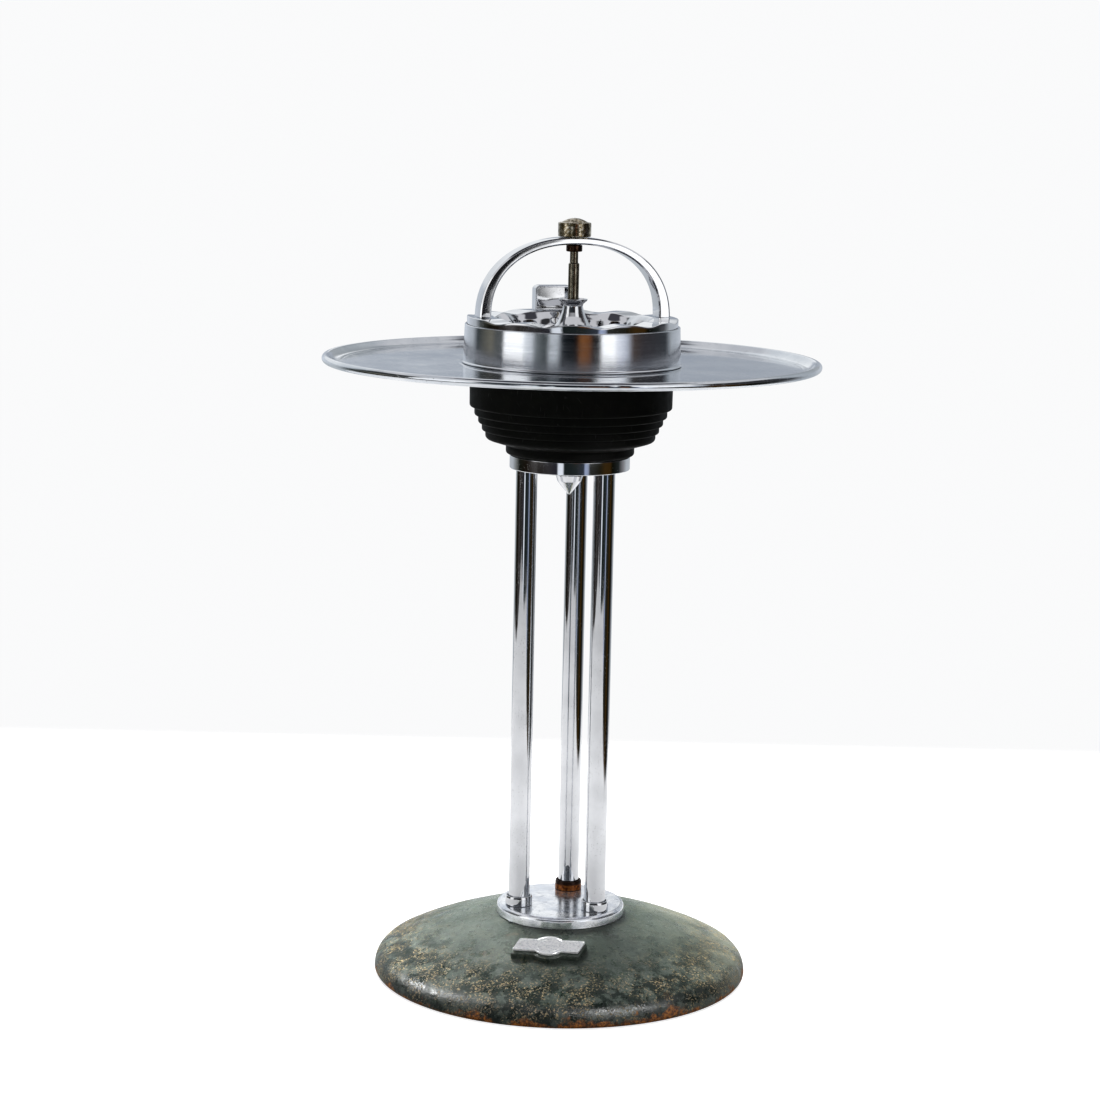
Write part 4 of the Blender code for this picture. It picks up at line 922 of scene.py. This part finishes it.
def make_dish(look):
    """Pressed dish: band, flat land with rests, fluted wall and a hole, all in one sheet."""
    top = DISH_TOP
    sheet = DISH_SHEET
    points = [
        (DISH_RADIUS - BAND_DRAFT, DISH_LOW_BAND, 0.0003), (DISH_RADIUS, top, 0.0006),
        (LAND_INNER, top, 0.003), (0.0544, top - 0.0055, 0.01), (0.0518, top - 0.011, 0.012),
        (0.0472, top - 0.0155, 0.012), (0.04, top - 0.0181, 0.01), (DISH_HOLE, DISH_HOLE_Z, 0.0004),
        (DISH_HOLE, DISH_HOLE_Z - sheet, 0.0004), (0.0404, top - 0.0193, 0.01),
        (0.0481, top - 0.0164, 0.012), (0.0529, top - 0.0114, 0.012), (0.0556, top - 0.0058, 0.01),
        (0.059, top - sheet, 0.0018), (DISH_RADIUS - sheet, top - sheet, 0.0004),
        (DISH_RADIUS - sheet, DISH_LOW_BAND, 0.0003),
    ]
    outline = rounded(points, 5)
    fine = []
    for first, second in zip(outline, outline[1:] + outline[:1]):
        parts = max(1, math.ceil(math.dist(first, second) / 0.0016))
        for step in range(parts):
            fine.append([low + (high - low) * step / parts for low, high in zip(first, second)])
    vertices, faces = spun(fine, FLUTE_COUNT * 24)
    for vertex in vertices:
        fall = rest_fall(vertex)
        vertex.xy *= 1.0 + flute_swell(vertex) / math.hypot(vertex.x, vertex.y)
        vertex.z -= fall
    piece("dish_sheet", vertices, faces, look, "receiver", "dish")


def arch_ring(angle):
    """Ring of points across the handle arch at an angle along its half superellipse."""
    rise = ARCH_TOP - ARCH_CROWN / 2.0 - ARCH_FOOT
    along = math.cos(angle)
    across = max(0.0, math.sin(angle))
    half = (ARCH_LEG + (ARCH_CROWN - ARCH_LEG) * across) / 2.0
    centre_x = math.copysign(ARCH_HALF_SPAN * abs(along) ** ARCH_EXPONENT, along)
    centre_z = ARCH_FOOT + rise * across**ARCH_EXPONENT
    normal_x = math.copysign(abs(along) ** (2.0 - ARCH_EXPONENT) / ARCH_HALF_SPAN, along)
    normal_z = across ** (2.0 - ARCH_EXPONENT) / rise
    length = math.hypot(normal_x, normal_z)
    side = ARCH_WIDTH / 2.0
    cut = ARCH_CHAMFER
    points = [
        (half, side - cut, 0.0005), (half - cut, side, 0.0005), (0.0, side + 0.00001, 0.02),
        (cut - half, side, 0.0005), (-half, side - cut, 0.0005), (-half - 0.0001, 0.0, 0.06),
    ]
    points += [(-out, -y, ease) for out, y, ease in points]
    ring = []
    for out, y in rounded(points, 3):
        height = min(ARCH_TOP, centre_z + out * normal_z / length)
        ring.append(Vector((centre_x + out * normal_x / length, y, height)))
    return ring


def make_arch(look):
    """Handle arch: a tapered bar with chamfered edges and faintly crowned faces."""
    steps = 150
    rings = [arch_ring(math.pi * index / steps) for index in range(steps + 1)]
    count = len(rings[0])
    vertices = [point for ring in rings for point in ring]
    rows = [tuple(range(row * count, (row + 1) * count)) for row in range(steps + 1)]
    faces = quads(zip(rows, rows[1:])) + [rows[0], rows[-1]]
    piece("arch_bar", vertices, faces, look, "receiver", "handle_arch")


def make_bush(look):
    """Shouldered bush under the crown of the arch."""
    low, high = (corner.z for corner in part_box("guide_bush"))
    points = [
        (BUSH_BORE, high, 0.0001), (BUSH_SLEEVE, high, 0.0001),
        (BUSH_SLEEVE, BUSH_TOP_Z), (BUSH_RADIUS, BUSH_TOP_Z, 0.0005),
        (BUSH_RADIUS, low, 0.0008), (BUSH_BORE, low, 0.0002),
    ]
    turned("bush_shell", points, 4, 64, look, "receiver", "guide_bush")


def holder_outline(inset, floor, corner):
    """Front outline (x, z) of the match holder, inset at its sides and top."""
    foot = DISH_TOP + GAP
    top = foot + HOLDER_HEIGHT - inset
    half = HOLDER_HALF_WIDTH - inset
    points = [(half, foot + floor), (half, top, corner), (-half, top, corner), (-half, foot + floor)]
    return [(HOLDER_CENTRE_X + x, z) for x, z in rounded(points, 8)]


def prism(outline, front, rear):
    """Mesh of an outline (x, z) drawn back along +Y."""
    count = len(outline)
    vertices = [(x, front, z) for x, z in outline] + [(x, rear, z) for x, z in outline]
    faces = [tuple(range(count)), tuple(range(2 * count - 1, count - 1, -1))]
    for index in range(count):
        onward = (index + 1) % count
        faces.append((index, index + count, onward + count, onward))
    mesh = bpy.data.meshes.new("prism")
    mesh.from_pydata(vertices, [], faces)
    return outward(mesh)


def make_holder(look):
    """Pressed match holder, open to the front, with eased edges."""
    sheet = HOLDER_SHEET
    body = prism(holder_outline(0.0, 0.0, HOLDER_ROUND), HOLDER_FRONT_Y, HOLDER_REAR_Y)
    made = dressed("holder_shell", body, look, "receiver", "match_holder")
    inside = holder_outline(sheet, sheet, HOLDER_ROUND - sheet)
    carved(made, prism(inside, HOLDER_FRONT_Y - 0.005, HOLDER_REAR_Y - sheet))
    softened(made, 0.0004, 3)


# ---- plunger


def make_rod(look):
    """Plunger rod: thin top, stop shoulder, thicker middle and thin tail."""
    low, high = (corner.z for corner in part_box("plunger_rod"))
    points = [
        (0.0, high), (ROD_THIN, high, 0.0002), (ROD_THIN, ROD_SHOULDER_Z, 0.0004),
        (ROD_THICK, ROD_SHOULDER_Z - 0.0009, 0.0004), (ROD_THICK, ROD_TAIL_TOP_Z, 0.0002),
        (ROD_TAIL, ROD_TAIL_TOP_Z), (ROD_TAIL, low, 0.0003), (0.0, low),
    ]
    turned("rod_shaft", points, 4, 64, look, "plunger", "plunger_rod")


def make_knob(look):
    """Button knob: straight side, small quirk and a low dome."""
    low, high = (corner.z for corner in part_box("knob"))
    points = [
        (0.0, KNOB_BORE_Z), (ROD_THIN + GAP, KNOB_BORE_Z), (ROD_THIN + GAP, low, 0.0002),
        (KNOB_RADIUS, low, 0.0008), (KNOB_RADIUS, KNOB_SIDE_Z, 0.0007),
        (KNOB_RADIUS - 0.0026, KNOB_SIDE_Z + 0.0004, 0.0008), (KNOB_RADIUS - 0.0052, high - 0.0016, 0.002),
        (KNOB_RADIUS - 0.0086, high - 0.0004, 0.004), (0.0, high),
    ]
    turned("knob_button", points, 6, 96, look, "plunger", "knob")


def make_cone(look):
    """Trumpet-shaped trap cone: a cup at the top, a waist and a wide skirt."""
    cup = ROD_TAIL_TOP_Z - GAP
    skirt = DISH_HOLE_Z + 0.0011
    tail = ROD_TAIL + GAP
    points = [
        (tail, cup), (0.0062, cup, 0.001), (0.0098, cup + 0.0026, 0.0012),
        (0.0103, cup + 0.0034, 0.0004), (0.0107, cup + 0.0028, 0.0004), (0.0101, cup + 0.0016, 0.0012),
        (0.0076, cup - 0.0006, 0.0012), (0.0072, cup - 0.0022, 0.003), (0.0081, cup - 0.006, 0.012),
        (0.0095, cup - 0.0098, 0.016), (0.0116, cup - 0.0142, 0.018), (0.0146, skirt + 0.0104, 0.018),
        (0.019, skirt + 0.0062, 0.018), (0.0258, skirt + 0.0029, 0.02), (0.0328, skirt + 0.0011, 0.0004),
        (0.0333, skirt + 0.0004, 0.0003), (0.0329, skirt, 0.0003), (0.0258, skirt + 0.0016, 0.01),
        (0.0194, skirt + 0.0044, 0.01), (0.014, skirt + 0.0084, 0.01), (0.0104, cup - 0.015, 0.01),
        (0.007, cup - 0.006), (tail, cup - 0.0042),
    ]
    turned("cone_shell", points, 4, 96, look, "plunger", "trap_cone")


# ---- stage, light and camera


def make_floor():
    """Plain pale floor that fades out at its edges."""
    mesh = bpy.data.meshes.new("floor")
    margin = FLOOR_SOFTNESS
    left, right = FLOOR_LEFT - margin, FLOOR_RIGHT + margin
    front, back = FLOOR_FRONT - margin, FLOOR_BACK + margin
    corners = [(left, front, 0.0), (right, front, 0.0), (right, back, 0.0), (left, back, 0.0)]
    mesh.from_pydata(corners, [], [(0, 1, 2, 3)])
    floor = bpy.data.objects.new("floor", mesh)
    floor.rotation_euler.z = -VIEW_TURN
    floor.location.z = -0.0002
    bpy.context.scene.collection.objects.link(floor)
    look = Look("floor_look", "none", (0.62, 0.62, 0.62), 0.0, 0.8)
    look.put("Specular IOR Level", 0.1)
    look.put("Emission Color", (1.0, 1.0, 1.0, 1.0))
    in_view = look.add("ShaderNodeLightPath").outputs["Is Camera Ray"]
    look.put("Emission Strength", look.times(in_view, 0.65))
    inside = 1.0
    for letter, low, high in (("x", FLOOR_LEFT, FLOOR_RIGHT), ("y", FLOOR_FRONT, FLOOR_BACK)):
        place = look.axis(letter)
        inside = look.times(inside, look.ramp(place, low - margin, low + margin))
        inside = look.times(inside, look.ramp(place, high + margin, high - margin))
    look.put("Alpha", inside)
    mesh.materials.append(look.material)


# Surroundings as they are seen in the metal: (degrees to the right of the camera, colour)
WALL_GLOW = (0.46, 0.49, 0.52)
SOFTBOX = (1.3, 1.3, 1.3)
PANEL_EDGES = ((30.2, 30.8), (46.0, 49.0))
LEVEL_STOPS = (
    (-180, (0.3, 0.33, 0.38)), (-163, (0.6, 0.64, 0.7)), (-131, WALL_GLOW), (-120, (0.045, 0.055, 0.06)),
    (-95, (0.2, 0.19, 0.155)), (-89, (0.12, 0.125, 0.12)), (-79, (0.09, 0.1, 0.105)), (-76, SOFTBOX),
    (-54, SOFTBOX), (-50, (0.8, 0.83, 0.87)), (-43, (0.7, 0.73, 0.77)), (-39, (0.22, 0.24, 0.25)),
    (-27, (0.05, 0.06, 0.06)), (-23, (0.62, 0.65, 0.68)), (-15, (0.55, 0.58, 0.61)),
    (-11, (0.02, 0.024, 0.028)), (5, (0.006, 0.008, 0.01)), (9, (0.26, 0.115, 0.045)),
    (18, (0.2, 0.085, 0.035)), (22, (0.02, 0.02, 0.02)), (45, (0.02, 0.02, 0.025)),
    (49, (0.92, 0.94, 1.02)), (60, (0.55, 0.58, 0.65)), (67, (0.095, 0.07, 0.06)),
    (80, (0.055, 0.05, 0.055)), (118, (0.05, 0.055, 0.062)), (131, WALL_GLOW), (163, (0.52, 0.55, 0.6)),
    (180, (0.3, 0.33, 0.38)),
)
LOW_STOPS = (
    (-180, WALL_GLOW), (-140, WALL_GLOW), (-122, (0.2, 0.21, 0.2)), (-112, (0.01, 0.012, 0.008)),
    (-90, (0.018, 0.013, 0.009)), (-70, (0.075, 0.07, 0.068)), (-60, (0.03, 0.026, 0.024)),
    (-40, (0.045, 0.042, 0.045)), (-24, (0.03, 0.03, 0.04)), (-21, (0.8, 0.84, 0.9)),
    (-13, (0.8, 0.84, 0.9)), (-10, (0.018, 0.024, 0.024)), (12, (0.024, 0.032, 0.033)),
    (27, (0.05, 0.06, 0.08)), (30, (0.36, 0.42, 0.58)), (36, (0.3, 0.34, 0.44)), (39, (0.04, 0.042, 0.04)),
    (60, (0.02, 0.018, 0.01)), (72, (0.055, 0.032, 0.01)), (84, (0.05, 0.028, 0.008)),
    (90, (0.006, 0.006, 0.002)), (108, (0.025, 0.03, 0.03)), (124, (0.24, 0.24, 0.25)), (140, WALL_GLOW),
    (180, WALL_GLOW),
)
HIGH_STOPS = (
    (-180, (0.84, 0.86, 0.88)), (-176, (0.78, 0.8, 0.82)), (-128, (0.66, 0.69, 0.72)),
    (-112, (0.06, 0.065, 0.065)), (-80, (0.05, 0.05, 0.05)), (-74, (1.0, 1.0, 1.0)), (-50, (1.0, 1.0, 1.0)),
    (-42, (0.06, 0.065, 0.07)), (-12, (0.035, 0.04, 0.045)), (22, (0.025, 0.025, 0.03)),
    (30, (1.0, 1.0, 1.0)), (56, (0.9, 0.91, 0.93)), (66, (0.045, 0.045, 0.045)), (112, (0.05, 0.05, 0.055)),
    (128, (0.5, 0.53, 0.56)), (174, (0.34, 0.36, 0.38)), (177, (0.42, 0.44, 0.46)),
    (180, (0.84, 0.86, 0.88)),
)
RING_GLOW = (0.62, 0.62, 0.64)
CEILING_GLOW = (0.07, 0.07, 0.08)
# World heights between which one band passes into the next
BAND_EDGES = ((-0.13, -0.098), (0.09, 0.16), (0.52, 0.64), (0.84, 0.9))


def make_surroundings():
    """Light of the room in bands from low to high, with a dark ceiling and, in view, a pale wall."""
    world = bpy.data.worlds.new("studio")
    bpy.context.scene.world = world
    world.use_nodes = True
    sky = Nodes(world.node_tree)
    direction = sky.add("ShaderNodeTexCoord").outputs["Generated"]
    facing = sky.fed("ShaderNodeVectorRotate", direction, rotation_type="Z_AXIS")
    sky.feed(facing.inputs["Angle"], VIEW_TURN)
    parts = sky.fed("ShaderNodeSeparateXYZ", facing.outputs[0])
    height = parts.outputs["Z"]
    turn = sky.maths("ARCTAN2", parts.outputs["X"], sky.times(parts.outputs["Y"], -1.0))
    around = sky.plus(sky.maths("DIVIDE", turn, 2.0 * math.pi), 0.5)

    def band(values):
        node = sky.fed("ShaderNodeValToRGB", around)
        elements = node.color_ramp.elements
        while len(elements) < len(values):
            elements.new(0.5)
        for element, (degrees, _) in zip(elements, values):
            element.position = degrees / 360.0 + 0.5
        for element, (_, colour) in zip(elements, values):
            element.color = (*colour, 1.0)
        return node.outputs[0]

    left_edge, right_edge = ([degrees / 360.0 + 0.5 for degrees in edge] for edge in PANEL_EDGES)
    panel = sky.times(sky.ramp(around, *left_edge), sky.ramp(around, *reversed(right_edge)))
    level = sky.blend(panel, band(LEVEL_STOPS), SOFTBOX)
    room = band(LOW_STOPS)
    for edges, glow in zip(BAND_EDGES, (level, band(HIGH_STOPS), RING_GLOW, CEILING_GLOW)):
        room = sky.blend(sky.ramp(height, *edges), room, glow)
    seen = sky.blend(sky.add("ShaderNodeLightPath").outputs["Is Camera Ray"], room, PALE_WALL)
    sky.feed(sky.tree.nodes["Background"].inputs["Color"], seen)


def area_light(name, around, height, distance, size, watts, aim, unseen, *pieces):
    """Soft lamp at degrees right of the camera round the stand, aimed at a height of its axis.

    It adds nothing to diffuse or to glossy light, as said, and shines on the pieces named or else on all.
    """
    lamp = bpy.data.lights.new(name, "AREA")
    lamp.shape = "DISK"
    lamp.size = size
    lamp.energy = watts
    made = bpy.data.objects.new(name, lamp)
    bpy.context.scene.collection.objects.link(made)
    angle = math.radians(around) - VIEW_TURN
    made.location = (distance * math.sin(angle), -distance * math.cos(angle), height)
    made.rotation_euler = (Vector((0.0, 0.0, aim)) - made.location).to_track_quat("-Z", "Y").to_euler()
    made.visible_camera = False
    setattr(made, "visible_" + unseen, False)
    if pieces:
        made.light_linking.receiver_collection = bpy.data.collections.new(name + "_pieces")
        for piece_name in pieces:
            made.light_linking.receiver_collection.objects.link(bpy.data.objects[piece_name])


def make_lights():
    """Two lamps for the glare in the paint, a soft one above, and one for the paint's own colour."""
    painted = ("base_shell", "badge_seat", "bowl_shell")
    area_light("lamp_left", -100.0, 1.25, 1.7, 0.55, 85.0, 0.1, "diffuse", "badge_face", *painted)
    area_light("lamp_right", 40.0, 1.25, 1.7, 0.55, 75.0, 0.1, "diffuse", "badge_face", *painted)
    area_light("lamp_above", 180.0, 2.1, 0.25, 1.6, 60.0, 0.0, "glossy")
    area_light("lamp_high", -160.0, 1.5, 1.6, 1.2, 150.0, 0.05, "glossy", *painted)


def make_camera():
    """Camera at the height and turn of the view."""
    pitch, yaw, roll = CAMERA_PITCH, CAMERA_YAW, CAMERA_ROLL
    forward = Vector((math.sin(yaw) * math.cos(pitch), math.cos(yaw) * math.cos(pitch), -math.sin(pitch)))
    level = Vector((math.cos(yaw), -math.sin(yaw), 0.0))
    upright = level.cross(forward)
    right = math.cos(roll) * level + math.sin(roll) * upright
    up = math.cos(roll) * upright - math.sin(roll) * level
    place = Matrix((right, up, -forward)).transposed().to_4x4()
    place.translation = CAMERA_PLACE
    camera = bpy.data.objects.new("camera", bpy.data.cameras.new("camera"))
    camera.data.lens = CAMERA_LENS
    camera.data.sensor_width = SENSOR_WIDTH
    camera.data.clip_start = 0.05
    camera.matrix_world = Matrix.Rotation(-VIEW_TURN, 4, "Z") @ place
    bpy.context.scene.collection.objects.link(camera)
    bpy.context.scene.camera = camera


# ---- whole


def dress_hidden_nodes(look):
    """Give the CAD nodes that stay as they are a worked material."""
    for name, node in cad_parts.items():
        if not node.hide_render:
            node.data.materials.clear()
            node.data.materials.append(look)


def main():
    bpy.context.scene.view_settings.view_transform = "Standard"
    bpy.context.scene.view_settings.look = "Medium High Contrast"
    chrome = polished_chrome("polished_chrome_look")
    tube_chrome = polished_chrome("tube_chrome_look", pits=1.0, wave=0.00005)
    iron = painted_iron()
    steel = plain_steel()
    make_camera()
    make_floor()
    make_surroundings()
    make_base(iron)
    make_badge(badge_alloy(), iron)
    make_base_plate(plate_chrome())
    make_columns(tube_chrome, {"rear": rusted_plate(), "left": chrome, "right": chrome})
    make_collar(chrome)
    make_finial(chrome)
    make_bowl(black_enamel())
    make_tray(tray_chrome())
    make_drum(satin_chrome())
    make_can(tinplate())
    make_dish(chrome)
    make_arch(polished_chrome("arch_chrome_look", pits=0.2, wave=0.00002))
    make_bush(
        worn_nickel("bush_look", (0.1, 0.055, 0.035), (0.035, 0.018, 0.01), (0.16, 0.1, 0.05), 0.2, 0.3)
    )
    make_holder(chrome)
    make_rod(
        worn_nickel("rod_look", (0.3, 0.275, 0.215), (0.17, 0.15, 0.11), (0.32, 0.25, 0.13), 0.1, 0.22)
    )
    make_knob(
        worn_nickel("knob_look", (0.62, 0.57, 0.47), (0.13, 0.105, 0.055), (0.5, 0.38, 0.2), 0.5, 0.26)
    )
    make_cone(chrome)
    dress_hidden_nodes(steel)
    make_lights()


main()
